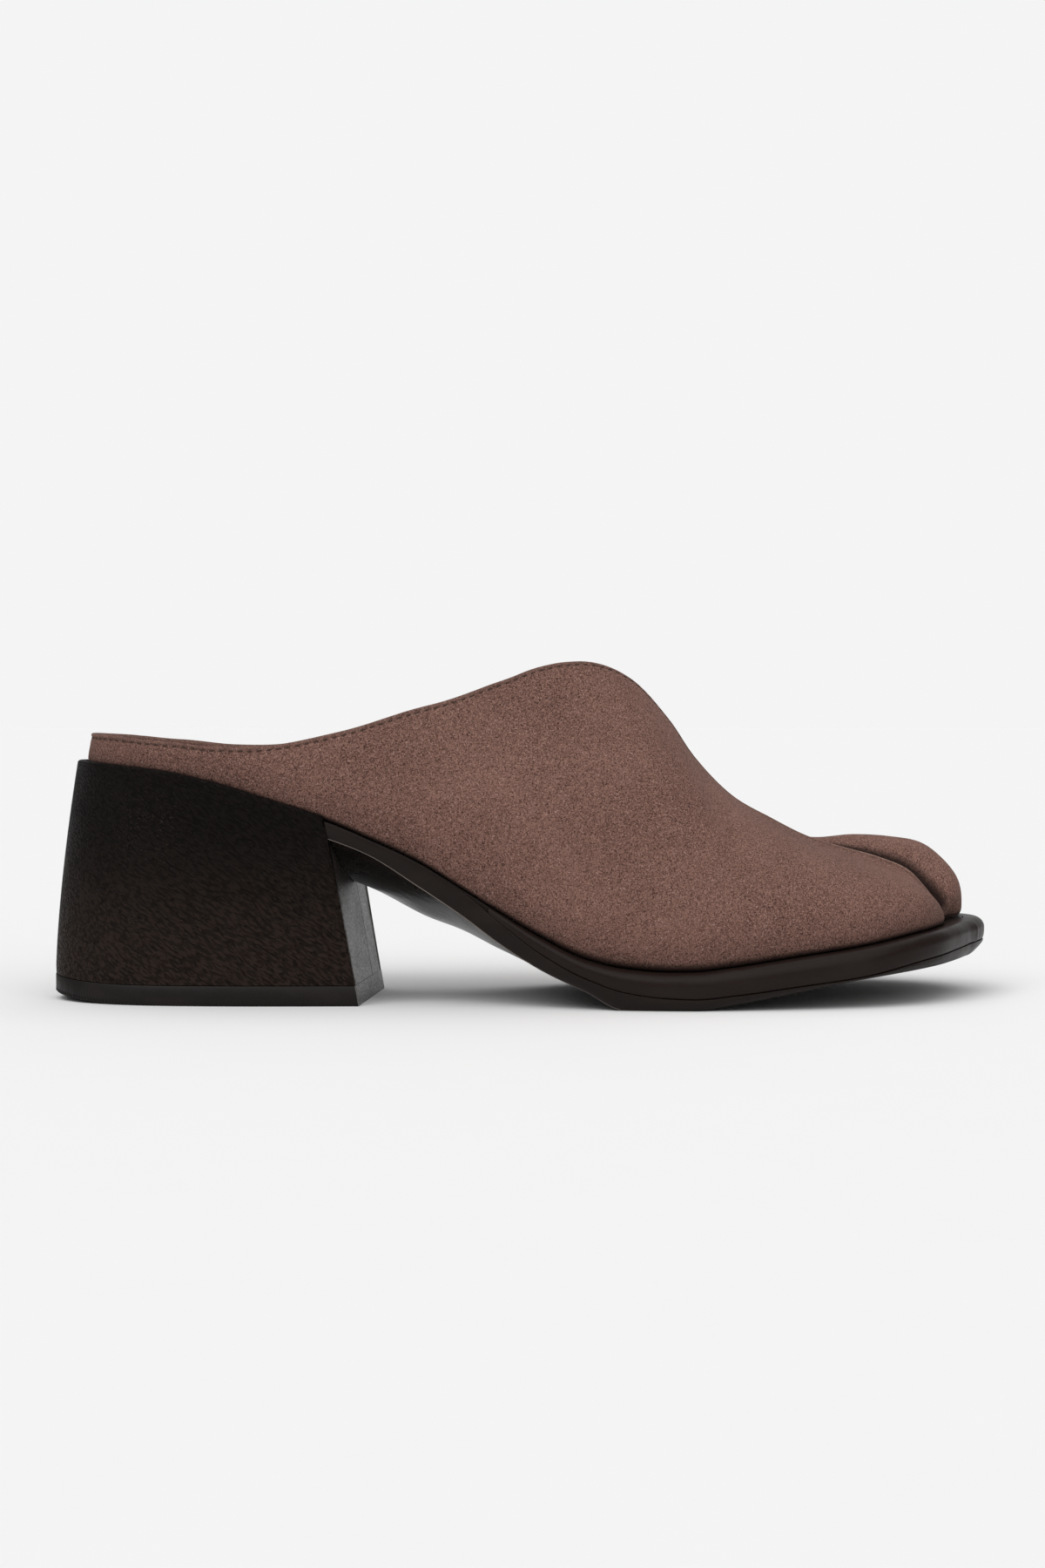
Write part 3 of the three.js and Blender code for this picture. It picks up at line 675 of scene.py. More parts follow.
class Graph:
    """Short words for laying nodes into one node tree."""

    def __init__(self, tree: bpy.types.NodeTree) -> None:
        """Takes the tree that it fills."""
        self.tree = tree

    def link(self, source: bpy.types.NodeSocket, target: bpy.types.NodeSocket) -> None:
        """Joins an output to an input."""
        self.tree.links.new(source, target)

    def add(self, kind: str, inputs: dict | None = None, **settings: object) -> bpy.types.Node:
        """Adds a node.

        Args:
            kind: Node type without its ShaderNode prefix.
            inputs: Values or sockets for its inputs, by name or number.
            **settings: The node's own settings.

        Returns:
            The node.
        """
        node = self.tree.nodes.new(kind if kind.startswith("Node") else "ShaderNode" + kind)
        for name, value in settings.items():
            setattr(node, name, value)
        for key, value in (inputs or {}).items():
            socket = node.inputs[key]
            if isinstance(value, bpy.types.NodeSocket):
                self.link(value, socket)
            else:
                socket.default_value = value
        return node

    def math(self, operation: str, a: object, b: object = 0.0) -> bpy.types.NodeSocket:
        """Result of a sum on one or two values."""
        return self.add("Math", {0: a, 1: b}, operation=operation).outputs[0]

    def times(self, a: object, b: object) -> bpy.types.NodeSocket:
        """Product of two values."""
        return self.math("MULTIPLY", a, b)

    def plus(self, a: object, b: object) -> bpy.types.NodeSocket:
        """Sum of two values."""
        return self.math("ADD", a, b)

    def minus(self, a: object, b: object) -> bpy.types.NodeSocket:
        """Difference of two values."""
        return self.math("SUBTRACT", a, b)

    def turn(self, vector: object, angle: object) -> bpy.types.NodeSocket:
        """Vector turned about the shoe's cross axis."""
        inputs = {"Vector": vector, "Angle": angle}
        return self.add("VectorRotate", inputs, rotation_type="Y_AXIS").outputs[0]

    def vector(self, operation: str, inputs: dict) -> bpy.types.NodeSocket:
        """Result of a sum on vectors."""
        return self.add("VectorMath", inputs, operation=operation).outputs[0]

    def place(self) -> bpy.types.NodeSocket:
        """Place on the object, in metres."""
        return self.add("TexCoord").outputs["Object"]

    def ramp(
        self, value: object, low: float, high: float, to_low: float = 0.0, to_high: float = 1.0
    ) -> bpy.types.NodeSocket:
        """Value mapped smoothly from one range to another.

        Args:
            value: What is mapped.
            low: Start of its range.
            high: End of its range.
            to_low: Result at the start.
            to_high: Result at the end.

        Returns:
            The result.
        """
        node = self.add(
            "MapRange",
            {"Value": value, "From Min": low, "From Max": high, "To Min": to_low, "To Max": to_high},
            interpolation_type="SMOOTHSTEP",
        )
        return node.outputs[0]

    def blend(self, share: object, a: object, b: object) -> bpy.types.NodeSocket:
        """Colour between a and b."""
        return self.add("Mix", {0: share, 6: a, 7: b}, data_type="RGBA").outputs[2]

    def noise(
        self, vector: object, scale: object, detail: float, rough: float = 0.5
    ) -> bpy.types.NodeSocket:
        """Plain noise, 0 to 1."""
        inputs = {"Vector": vector, "Scale": scale, "Detail": detail, "Roughness": rough}
        return self.add("TexNoise", inputs).outputs["Fac"]


def colour(code: str) -> tuple[float, float, float, float]:
    """Linear colour of a six-figure hex code."""
    parts = [int(code[k : k + 2], 16) / 255 for k in (0, 2, 4)]
    linear = [v / 12.92 if v <= 0.04045 else ((v + 0.055) / 1.055) ** 2.4 for v in parts]
    return (*linear, 1.0)


class Effect(Enum):
    """Shader effects that more than one finish uses."""

    NAP = "suede_nap"
    HIDE = "leather_hide"
    DUST = "dust_and_rub"


class Effects:
    """Builds each shared effect once, as a node group."""

    def __init__(self) -> None:
        """Builds the three groups."""
        self.groups = {Effect.NAP: self.nap(), Effect.HIDE: self.hide(), Effect.DUST: self.dust()}

    @staticmethod
    def start(
        effect: Effect, takes: dict[str, tuple[str, object]], gives: dict[str, str]
    ) -> tuple[Graph, dict, bpy.types.Node]:
        """Starts a group with its sockets.

        Args:
            effect: Which effect.
            takes: Inputs, each with its socket kind and value.
            gives: Outputs, each with its socket kind.

        Returns:
            The graph, the input sockets by name, and the output node.
        """
        tree = bpy.data.node_groups.new(effect.value, "ShaderNodeTree")
        for name, (kind, value) in takes.items():
            socket = tree.interface.new_socket(name, in_out="INPUT", socket_type="NodeSocket" + kind)
            socket.default_value = value
        for name, kind in gives.items():
            tree.interface.new_socket(name, in_out="OUTPUT", socket_type="NodeSocket" + kind)
        graph = Graph(tree)
        entry = graph.add("NodeGroupInput")
        return graph, {name: entry.outputs[name] for name in takes}, graph.add("NodeGroupOutput")

    def nap(self) -> bpy.types.NodeTree:
        """Napped suede: colour of its fibres, their height and roughness.

        Returns:
            The group.
        """
        graph, takes, gives = self.start(
            Effect.NAP,
            {
                "Lying": ("Color", (0.1, 0.06, 0.05, 1)),
                "Raised": ("Color", (0.3, 0.2, 0.18, 1)),
                "Fleck": ("Color", (0.4, 0.3, 0.27, 1)),
            },
            {"Color": "Color", "Height": "Float", "Roughness": "Float"},
        )
        place = graph.place()
        fibre, stroke = graph.noise(place, 3300, 1), graph.noise(place, 2000, 1)
        clump, patch = graph.noise(place, 800, 2), graph.noise(place, 32, 2)
        mottle = graph.noise(place, 110, 3, 0.55)
        share = None
        for layer, weight in ((fibre, 2.0), (stroke, 1.1), (clump, 0.3), (mottle, 0.16), (patch, 0.4)):
            part = graph.times(graph.minus(layer, 0.5), weight)
            share = graph.plus(part, 0.5) if share is None else graph.plus(share, part)
        kept = graph.math("MAXIMUM", graph.math("MINIMUM", share, 1.0), 0.0)
        body = graph.blend(kept, takes["Lying"], takes["Raised"])
        fleck = graph.ramp(graph.noise(place, 2900, 1), 0.6, 0.72)
        graph.link(graph.blend(graph.times(fleck, 0.4), body, takes["Fleck"]), gives.inputs["Color"])
        graph.link(graph.plus(graph.times(fibre, 0.65), graph.times(stroke, 0.35)), gives.inputs["Height"])
        graph.link(graph.ramp(share, 0.2, 0.9, 1.0, 0.86), gives.inputs["Roughness"])
        return graph.tree

    def hide(self) -> bpy.types.NodeTree:
        """Grained leather: cells between fine furrows, with longer wrinkles across.

        Returns:
            The group.
        """
        graph, takes, gives = self.start(
            Effect.HIDE,
            {
                "Cell": ("Float", 900.0),
                "Wrinkle": ("Float", 0.5),
                "Slant": ("Float", 0.0),
                "Stretch": ("Float", 1.0),
            },
            {"Furrow": "Float", "Height": "Float"},
        )
        place = graph.place()
        warp = graph.add("TexNoise", {"Vector": place, "Scale": 420.0, "Detail": 1.0}).outputs["Color"]
        shift = graph.vector("SUBTRACT", {0: warp, 1: (0.5, 0.5, 0.5)})
        warped = graph.vector("ADD", {0: place, 1: graph.vector("SCALE", {0: shift, "Scale": 0.0006})})
        drawn = graph.add("CombineXYZ", {"X": takes["Stretch"], "Y": 1.0, "Z": 1.0}).outputs[0]
        laid = graph.vector("MULTIPLY", {0: graph.turn(warped, takes["Slant"]), 1: drawn})
        cells = graph.add("TexVoronoi", {"Vector": laid, "Scale": takes["Cell"]}, feature="SMOOTH_F1")
        fine = graph.ramp(cells.outputs["Distance"], 0.62, 0.3)
        ridge = graph.noise(laid, graph.times(takes["Cell"], 0.42), 1.5)
        long = graph.ramp(graph.math("ABSOLUTE", graph.minus(ridge, 0.5)), 0.0, 0.06)
        where = graph.times(graph.ramp(graph.noise(place, 70, 3, 0.6), 0.3, 0.5), takes["Wrinkle"])
        faded = graph.plus(graph.times(graph.minus(long, 1.0), where), 1.0)
        softened = graph.plus(graph.times(fine, 0.6), 0.4)
        graph.link(graph.minus(1.0, graph.times(softened, faded)), gives.inputs["Furrow"])
        graph.link(graph.plus(graph.times(fine, 0.55), graph.times(faded, 0.45)), gives.inputs["Height"])
        return graph.tree

    def dust(self) -> bpy.types.NodeTree:
        """Fine dust and handling marks: a mask, and the roughness that they leave.

        Returns:
            The group.
        """
        graph, takes, gives = self.start(
            Effect.DUST,
            {
                "Size": ("Float", 160.0),
                "Amount": ("Float", 0.5),
                "Smooth": ("Float", 0.3),
                "Dull": ("Float", 0.5),
            },
            {"Mask": "Float", "Roughness": "Float"},
        )
        place = graph.place()
        smear = graph.add("Mapping", {"Vector": place, "Scale": (0.5, 1, 1.4)}).outputs[0]
        cloud = graph.noise(smear, takes["Size"], 4.0)
        speck = graph.noise(place, 2600.0, 1.0)
        mask = graph.times(graph.ramp(cloud, 0.42, 0.7), takes["Amount"])
        specks = graph.times(graph.ramp(speck, 0.7, 0.78), takes["Amount"])
        span = graph.minus(takes["Dull"], takes["Smooth"])
        graph.link(graph.math("MAXIMUM", mask, specks), gives.inputs["Mask"])
        graph.link(graph.plus(takes["Smooth"], graph.times(mask, span)), gives.inputs["Roughness"])
        return graph.tree


@dataclass(frozen=True)
class Finish:
    """What a surface is made of."""

    name: str
    effects: Effects = field(compare=False, repr=False)

    def begin(self, **settings: object) -> tuple[Graph, bpy.types.Node, bpy.types.Material]:
        """Starts the material.

        Args:
            **settings: Plain values of the shader's sockets, words joined by underscores.

        Returns:
            The graph, the shader and the material.
        """
        material = bpy.data.materials.new(self.name)
        material.use_nodes = True
        graph = Graph(material.node_tree)
        shader = material.node_tree.nodes["Principled BSDF"]
        for key, value in settings.items():
            shader.inputs[key.replace("_", " ")].default_value = value
        return graph, shader, material

    def effect(self, graph: Graph, effect: Effect, **values: object) -> bpy.types.Node:
        """Places a shared effect.

        Args:
            graph: The material's graph.
            effect: Which effect.
            **values: Values for the group's inputs.

        Returns:
            The group node.
        """
        node = graph.add("Group")
        node.node_tree = self.effects.groups[effect]
        for key, value in values.items():
            node.inputs[key].default_value = value
        return node

    @staticmethod
    def mask(graph: Graph, name: str, share: float) -> bpy.types.NodeSocket:
        """A shading mask of the mesh, weakened to a share."""
        return graph.times(graph.add("Attribute", attribute_name=name).outputs["Fac"], share)

    @staticmethod
    def bump(graph: Graph, shader: bpy.types.Node, layers: Sequence[tuple[object, float]]) -> None:
        """Feeds the shader's normal from heights.

        Args:
            graph: The material's graph.
            shader: Its shader.
            layers: Heights from 0 to 1, each with its depth in metres.
        """
        normal = None
        for height, depth in layers:
            inputs = {"Strength": 1.0, "Distance": depth, "Height": height}
            if normal is not None:
                inputs["Normal"] = normal
            normal = graph.add("Bump", inputs).outputs[0]
        graph.link(normal, shader.inputs["Normal"])


@dataclass(frozen=True)
class Suede(Finish):
    """Taupe suede with a short nap, greyer at its rims, with painted shade at its foot and in the cleft and a
    painted highlight on the fold.
    """

    lying: str = "3b2822"
    raised: str = "8f6b60"
    fleck: str = "c6a89d"
    tint: str = "c9ada2"
    rim: str = "5e4b44"
    rim_share: float = 0.3
    # Colour and share of the painted highlight along the fold's edge.
    worn: str = "b59588"
    highlight_share: float = 0.75
    # Colour and share of the painted shade at the foot, low on the wall and in the cleft.
    crevice: str = "120b09"
    painted_shade_share: float = 0.94
    depth: float = 0.0002

    def make(self) -> bpy.types.Material:
        """Lays the material's nodes.

        Returns:
            The material.
        """
        graph, shader, material = self.begin(
            Specular_IOR_Level=0.12, Sheen_Weight=0.08, Sheen_Roughness=0.5, Sheen_Tint=colour(self.tint)
        )
        tones = {"Lying": colour(self.lying), "Raised": colour(self.raised), "Fleck": colour(self.fleck)}
        nap = self.effect(graph, Effect.NAP, **tones)
        shade = nap.outputs["Color"]
        # Greyer rims, then the painted highlight on the fold, then the painted shade at the foot and in the
        # cleft.
        for mask, share, tone in (
            ("rim", self.rim_share, self.rim),
            ("worn", self.highlight_share, self.worn),
            ("crevice", self.painted_shade_share, self.crevice),
        ):
            shade = graph.blend(self.mask(graph, mask, share), shade, colour(tone))
        graph.link(shade, shader.inputs["Base Color"])
        graph.link(nap.outputs["Roughness"], shader.inputs["Roughness"])
        self.bump(graph, shader, [(nap.outputs["Height"], self.depth)])
        return material


@dataclass(frozen=True)
class SmoothLeather(Finish):
    """Thin smooth leather, for lining and sock."""

    tone: str = "4a3a33"
    furrow: str = "2e241f"
    bloom: str = "7a6459"
    cell: float = 1300.0
    depth: float = 0.00008

    def make(self) -> bpy.types.Material:
        """Lays the material's nodes.

        Returns:
            The material.
        """
        graph, shader, material = self.begin(Specular_IOR_Level=0.4, Sheen_Weight=0.08)
        hide = self.effect(graph, Effect.HIDE, Cell=self.cell, Wrinkle=0.35, Slant=0.4, Stretch=0.85)
        rub = self.effect(graph, Effect.DUST, Size=120.0, Amount=0.6, Smooth=0.48, Dull=0.7)
        dark = graph.blend(graph.times(hide.outputs["Furrow"], 0.5), colour(self.tone), colour(self.furrow))
        dusty = graph.blend(graph.times(rub.outputs["Mask"], 0.18), dark, colour(self.bloom))
        graph.link(dusty, shader.inputs["Base Color"])
        graph.link(rub.outputs["Roughness"], shader.inputs["Roughness"])
        self.bump(graph, shader, [(hide.outputs["Height"], self.depth)])
        return material


@dataclass(frozen=True)
class HeelHide(Finish):
    """Fine-grained dark cover of the heel, satin, with slanting wrinkles and a few dashes of wear."""

    low: str = "2b211c"
    high: str = "100b09"
    furrow: str = "050302"
    scuff: str = "2c2521"
    cell: float = 1700.0
    stretch: float = 0.34
    slant: float = -0.61
    smooth: float = 0.45
    dull: float = 0.6
    depth: float = 0.0004
    gloss: float = 0.07
    fade: tuple[float, float] = (0.01, 0.05)
    scuffed: tuple[float, float, float] = (-0.1, -0.037, 0.047)
    scuff_reach: tuple[float, float] = (0.016, 0.004)

    def make(self) -> bpy.types.Material:
        """Lays the material's nodes.

        Returns:
            The material.
        """
        graph, shader, material = self.begin(Specular_IOR_Level=self.gloss)
        grain = {"Cell": self.cell, "Wrinkle": 0.6, "Slant": self.slant, "Stretch": self.stretch}
        hide = self.effect(graph, Effect.HIDE, **grain)
        rub = self.effect(graph, Effect.DUST, Size=90.0, Amount=0.5, Smooth=self.smooth, Dull=self.dull)
        place, furrow = graph.place(), hide.outputs["Furrow"]
        height = graph.add("SeparateXYZ", {0: place}).outputs["Z"]
        plateau = graph.blend(graph.ramp(height, *self.fade), colour(self.low), colour(self.high))
        furrowed = graph.blend(graph.times(furrow, 0.9), plateau, colour(self.furrow))
        drawn = graph.vector("MULTIPLY", {0: graph.turn(place, self.slant), 1: (0.3, 1.0, 1.0)})
        away = graph.add("VectorMath", {0: place, 1: self.scuffed}, operation="DISTANCE").outputs["Value"]
        # Dashes of wear near one spot of the heel's side.
        dashes = graph.ramp(graph.noise(drawn, 3600, 1), 0.62, 0.7)
        worn = graph.times(dashes, graph.ramp(away, *self.scuff_reach))
        graph.link(graph.blend(worn, furrowed, colour(self.scuff)), shader.inputs["Base Color"])
        graph.link(graph.plus(rub.outputs["Roughness"], graph.times(furrow, 0.2)), shader.inputs["Roughness"])
        self.bump(graph, shader, [(hide.outputs["Height"], self.depth)])
        return material


@dataclass(frozen=True)
class Rubber(Finish):
    """Dark moulded rubber or lacquer, from satin to gloss, with a painted highlight where the mesh's mask marks
    one.
    """

    tone: str = "16110f"
    bloom: str = "28211d"
    # Colour of the painted highlight along the outsole's lip.
    edge_highlight: str = "8d837c"
    gloss: float = 0.2
    smooth: float = 0.34
    dull: float = 0.5
    swell: float = 0.00012
    speckle: float = 0.00005

    def make(self) -> bpy.types.Material:
        """Lays the material's nodes.

        Returns:
            The material.
        """
        graph, shader, material = self.begin(Specular_IOR_Level=self.gloss)
        rub = self.effect(graph, Effect.DUST, Size=110.0, Amount=0.5, Smooth=self.smooth, Dull=self.dull)
        place = graph.place()
        shade = graph.blend(graph.times(rub.outputs["Mask"], 0.6), colour(self.tone), colour(self.bloom))
        # Painted highlight where the mesh's mask marks it: the outsole's lip at the waist.
        edged = graph.blend(self.mask(graph, "worn", 0.9), shade, colour(self.edge_highlight))
        graph.link(edged, shader.inputs["Base Color"])
        graph.link(rub.outputs["Roughness"], shader.inputs["Roughness"])
        swell, pores = graph.noise(place, 190, 2), graph.noise(place, 1900, 2)
        self.bump(graph, shader, [(swell, self.swell), (pores, self.speckle)])
        return material


@dataclass(frozen=True)
class Thread(Finish):
    """Waxed sewing thread."""

    tone: str = "2e211c"
    lit: str = "5c483e"
    depth: float = 0.00008

    def make(self) -> bpy.types.Material:
        """Lays the material's nodes.

        Returns:
            The material.
        """
        graph, shader, material = self.begin(Specular_IOR_Level=0.12, Roughness=0.7)
        ply = {"Vector": graph.place(), "Scale": 900.0, "Distortion": 3.0, "Detail": 1.0}
        twist = graph.add("TexWave", ply).outputs["Fac"]
        graph.link(graph.blend(twist, colour(self.tone), colour(self.lit)), shader.inputs["Base Color"])
        self.bump(graph, shader, [(twist, self.depth)])
        return material


@dataclass(frozen=True)
class Paper(Finish):
    """Pale studio floor."""

    tone: float = 0.872
    cloud: float = 1.01

    def make(self) -> bpy.types.Material:
        """Lays the material's nodes.

        Returns:
            The material.
        """
        graph, shader, material = self.begin(Specular_IOR_Level=0.0, Roughness=1.0)
        pale, paler = ((tone, tone, tone, 1.0) for tone in (self.tone, self.tone * self.cloud))
        graph.link(graph.blend(graph.noise(graph.place(), 40, 2), pale, paler), shader.inputs["Base Color"])
        return material


@dataclass
class SuedeUpper:
    """The suede shell: two walls with a rolled rim, a lapped centre seam and the cleft of the toe."""

    last: Last
    wall: float = 2.0
    per_rib: int = 8
    rows: int = 46
    curve_steps: int = 241
    arc_steps: int = 7
    near_rows: tuple[float, ...] = (0, 0.35, 0.7, 1.0, 1.3, 1.65, 2.05, 2.5, 3.1, 3.9, 4.9, 6.1, 7.6)
    near_wall: float = 24.0
    fold_round: float = 0.55
    fold_share: float = 0.45
    fold_half: float = 0.42
    fold_under: float = 1.5
    tuck_in: float = 0.5
    tuck_height: float = 0.9
    tuck_wall: float = 6.0
    stitch_inset: float = 1.35
    stitch_sink: float = 0.22
    stitch_half: float = 0.45
    puff: float = 0.12
    puff_half: float = 0.5
    lining_foot: float = 5.0
    lining_seam: float = 3.5
    foot_shadow: tuple[float, float] = (0.2, 1.8)
    low_shade: float = 0.3
    low_reach: float = 13.0
    tip: tuple[float, float] = (20.5, 22.5)

    def __post_init__(self) -> None:
        """Works out the stations, the rows and the creases."""
        self.stations = self.last.end * self.per_rib
        self.throat_station = self.last.throat * self.per_rib
        self.near = np.array(self.near_rows)
        self.far = np.linspace(0, 1, self.rows - len(self.near) + 2)[1:]
        self.creases = read_table(CREASES)

    def roll_length(self, place: float) -> float:
        """How far from the edge the rounded rim starts.

        Args:
            place: Rib place.

        Returns:
            The distance in millimetres.
        """
        seam = min(self.fold_round, self.fold_share * self.last.groove_depth(place))
        return mix(self.wall / 2, seam, ease(place, self.last.throat - 1, self.last.throat))

    def row_spots(self, side: Side, place: float) -> np.ndarray:
        """Points of one rib curve from the foot line to the start of the rim.

        Args:
            side: Side of the shoe.
            place: Rib place.

        Returns:
            As many points as there are rows.
        """
        foot, low, high, top = self.last.rib_curve(side, place)
        t = np.linspace(0, 1, self.curve_steps)[:, None]
        back = 1 - t
        curve = back**3 * foot + 3 * t * back**2 * low + 3 * t * t * back * high + t**3 * top
        run = np.concatenate([[0], np.cumsum(np.linalg.norm(np.diff(curve, axis=0), axis=1))])
        length = run[-1]
        roll = min(self.roll_length(place), 0.3 * length)
        near = self.near * min(1.0, (length - roll) / self.near_wall)
        deepest = near[-1]
        far = deepest + (length - roll - deepest) * self.far
        from_edge = roll + np.concatenate([near, far])
        at = (length - from_edge)[::-1]
        return np.stack([np.interp(at, run, curve[:, k]) for k in range(3)], axis=1)

    def grids(self) -> dict[Side, dict[str, np.ndarray]]:
        """Outer and inner faces of both sides.

        Returns:
            For each side its face, normals, lining and distances from the edge.
        """
        places = np.arange(self.stations + 1) / self.per_rib
        face = {side: np.array([self.row_spots(side, float(p)) for p in places]) for side in Side}
        made: dict[Side, dict[str, np.ndarray]] = {}
        for side in Side:
            other = Side.INNER if side is Side.OUTER else Side.OUTER
            grid = face[side]
            padded = np.concatenate([face[other][1:2], grid, 2 * grid[-1:] - grid[-2:-1]])
            along = padded[2:] - padded[:-2]
            up = np.gradient(grid, axis=1)
            normal = unit(np.cross(up, along)) * side.value
            normal[-1] = normal[-2]
            steps = np.linalg.norm(np.diff(grid[:, ::-1], axis=1), axis=2)
            rolls = np.array([self.roll_length(float(p)) for p in places])[:, None]
            run = np.concatenate([np.zeros((len(grid), 1)), np.cumsum(steps, axis=1)], axis=1)
            edge = (run + rolls)[:, ::-1]
            foot = edge[:, :1] - edge
            lining = self.lining_of(side, places, grid, normal, edge)
            carved = grid - normal * self.depth_at(side, grid, edge, foot)[..., None]
            made[side] = {"face": carved, "normal": normal, "lining": lining, "edge": edge, "foot": foot}
        return made

    def lining_of(
        self, side: Side, places: np.ndarray, grid: np.ndarray, normal: np.ndarray, edge: np.ndarray
    ) -> np.ndarray:
        """Inner face: the outer one set in by the wall, led to the seam ahead of the throat.

        Args:
            side: Side of the shoe.
            places: Rib place of each station.
            grid: Outer face.
            normal: Its outward directions.
            edge: Distance of each point from the top edge.

        Returns:
            The lining's points.
        """
        last = self.last
        lining = grid - normal * self.wall
        for k, place in enumerate(places.tolist()):
            foot, out = last.foot(side, place), last.foot_point(side, place)[1]
            base = np.array([foot[0] - out[0] * self.wall, foot[1] - out[1] * self.wall, 0.0])
            base[2] = last.foot_line(base[0])
            near_foot = ease_all(edge[k, 0] - edge[k], 0, self.lining_foot)[:, None]
            lining[k] = base + (lining[k] - lining[k, 0]) * (1 - near_foot) + (lining[k] - base) * near_foot
            if place > last.throat:
                led = ease(place, last.throat, last.throat + 1)
                seam = last.groove_point(place) + last.seam_inward(place) * self.wall
                span = last.groove_depth(place) + self.lining_seam
                close = (1 - ease_all(edge[k], 0, span))[:, None] * led
                lining[k] = lining[k] * (1 - close) + seam * close
            shut = ease(place, last.end - 1, last.end)
            lining[k] = lining[k] * (1 - shut) + base * shut
        return lining

    def depth_at(self, side: Side, grid: np.ndarray, edge: np.ndarray, foot: np.ndarray) -> np.ndarray:
        """How far the face sinks at each point: creases, stitch line and the tuck at the sole.

        Args:
            side: Side of the shoe.
            grid: Outer face.
            edge: Distance of each point from the top edge.
            foot: Distance of each point from the foot line.

        Returns:
            Depths in millimetres.
        """
        depth = np.zeros(edge.shape)
        flat = grid[..., [0, 2]]
        for which, x, z, to_x, to_z, half, sink, hem in zip(*self.creases.values()):
            if which != side.value:
                continue
            start, run = np.array([x, z]), np.array([to_x - x, to_z - z])
            share = np.clip(((flat - start) @ run) / (run @ run), 0, 1)
            away = np.linalg.norm(flat - (start + share[..., None] * run), axis=-1)
            hemmed = ease_all(edge, hem / 4, hem) * ease_all(foot, 0.5, hem)
            depth += sink * np.exp(-((away / half) ** 2)) * hemmed
        last, places = self.last, np.arange(len(grid))[:, None] / self.per_rib
        sewn = 1 - ease_all(places, last.end - 1.2, last.end - 0.2)
        if side is Side.INNER:
            sewn = sewn * (1 - ease_all(places, last.throat - 0.6, last.throat))
        depth += sewn * self.stitch_sink * np.exp(-(((edge - self.stitch_inset) / self.stitch_half) ** 2))
        depth -= sewn * self.puff * np.exp(-(((edge - self.stitch_inset / 2) / self.puff_half) ** 2))
        room = np.minimum(1.0, edge[:, :1] / self.tuck_wall)
        depth += room * self.tuck_in * np.exp(-((foot / self.tuck_height) ** 2))
        return depth

    def arc(self, start: Spot, normal: Spot, up: Spot, half: float, rise: float) -> np.ndarray:
        """Half an ellipse over the rim, without its two ends.

        Args:
            start: Last point of the outer face.
            normal: Outward direction.
            up: Direction towards the edge.
            half: Half the wall's thickness there.
            rise: How far the rim stands past the start.

        Returns:
            The points between the face and the other side.
        """
        angles = np.linspace(0, math.pi, self.arc_steps + 2)[1:-1, None]
        return start - normal * half + normal * half * np.cos(angles) + up * rise * np.sin(angles)

    def rim_arc(self, grid: dict[str, np.ndarray], k: int, half: float) -> np.ndarray:
        """Rounded edge of a wall at one station.

        Args:
            grid: One side's points.
            k: The station.
            half: Half the thickness of the edge.

        Returns:
            The points past the outer face.
        """
        start, normal = grid["face"][k, -1], grid["normal"][k, -1]
        up = unit(start - grid["face"][k, -3])
        return self.arc(start, normal, up, half, self.roll_length(k / self.per_rib))

    def masks(self, grid: dict[str, np.ndarray], k: int, groove: bool) -> dict[str, np.ndarray]:
        """Masks of one row of the outer face: the greyer rim and the painted shade.

        Args:
            grid: One side's points.
            k: The station.
            groove: Whether the row ends in the cleft.

        Returns:
            The rim's mask and the painted shade at the foot, low on the wall and in the cleft.
        """
        edge, foot = grid["edge"][k], grid["foot"][k]
        rim = 1 - ease_all(edge, self.stitch_inset - 0.2, self.stitch_inset + 0.8)
        # Painted shade: dark at the foot line and a little darker over the lowest part of the wall.
        low = self.low_shade * (1 - ease_all(foot, 0, self.low_reach))
        crevice = np.maximum(1 - ease_all(foot, *self.foot_shadow), low)
        if groove:
            rim = np.zeros_like(rim)
            deep = self.last.groove_depth(k / self.per_rib)
            tip = ease(k / self.per_rib, *self.tip)
            # Painted shade in the cleft behind the folded edge, reaching further towards the toe.
            dark = 1 - ease_all(edge, deep + 0.6 + tip, 1.6 * deep + 1.5 + 3.5 * tip)
            crevice = np.maximum(crevice, dark * min(1.0, deep / 1.5))
        return {"rim": rim, "crevice": crevice}

    def build(self, suede: bpy.types.Material, lining: bpy.types.Material) -> Piece:
        """Makes the shell.

        Args:
            suede: Finish of the outside and the rims.
            lining: Finish of the inside.

        Returns:
            The piece.
        """
        self.made = grids = self.grids()
        last, skin = self.last, Skin()
        out = grids[Side.OUTER]
        size, arc = self.rows, self.arc_steps
        lines: dict[tuple[Side, str, int], np.ndarray] = {}
        for side, grid in grids.items():
            for k in range(self.stations + 1):
                groove = side is Side.INNER and k >= self.throat_station
                lines[side, "face", k] = skin.add(grid["face"][k], **self.masks(grid, k, groove))
                lines[side, "lining", k] = skin.add(grid["lining"][k])
        rims: list[np.ndarray] = []
        for side, grid in grids.items():
            rings = []
            for k in range(self.throat_station + 1):
                rim = skin.add(self.rim_arc(grid, k, self.wall / 2), rim=np.ones(arc))
                rings.append(np.concatenate([lines[side, "face", k], rim, lines[side, "lining", k][::-1]]))
            slots = [0] * (len(rings[0]) - size) + [1] * (size - 1) + [0]
            for a, b in zip(rings, rings[1:]):
                skin.band(a, b, slots)
            rims.append(rings[-1][size - 1 : size + arc + 1])
        rings = []
        for k in range(self.throat_station, self.stations + 1):
            place = k / self.per_rib
            deep = last.groove_depth(place)
            half = min(self.fold_round, self.fold_half * deep)
            fold = self.rim_arc(out, k, half)
            start, normal = out["face"][k, -1], out["normal"][k, -1]
            up = unit(start - out["face"][k, -3])
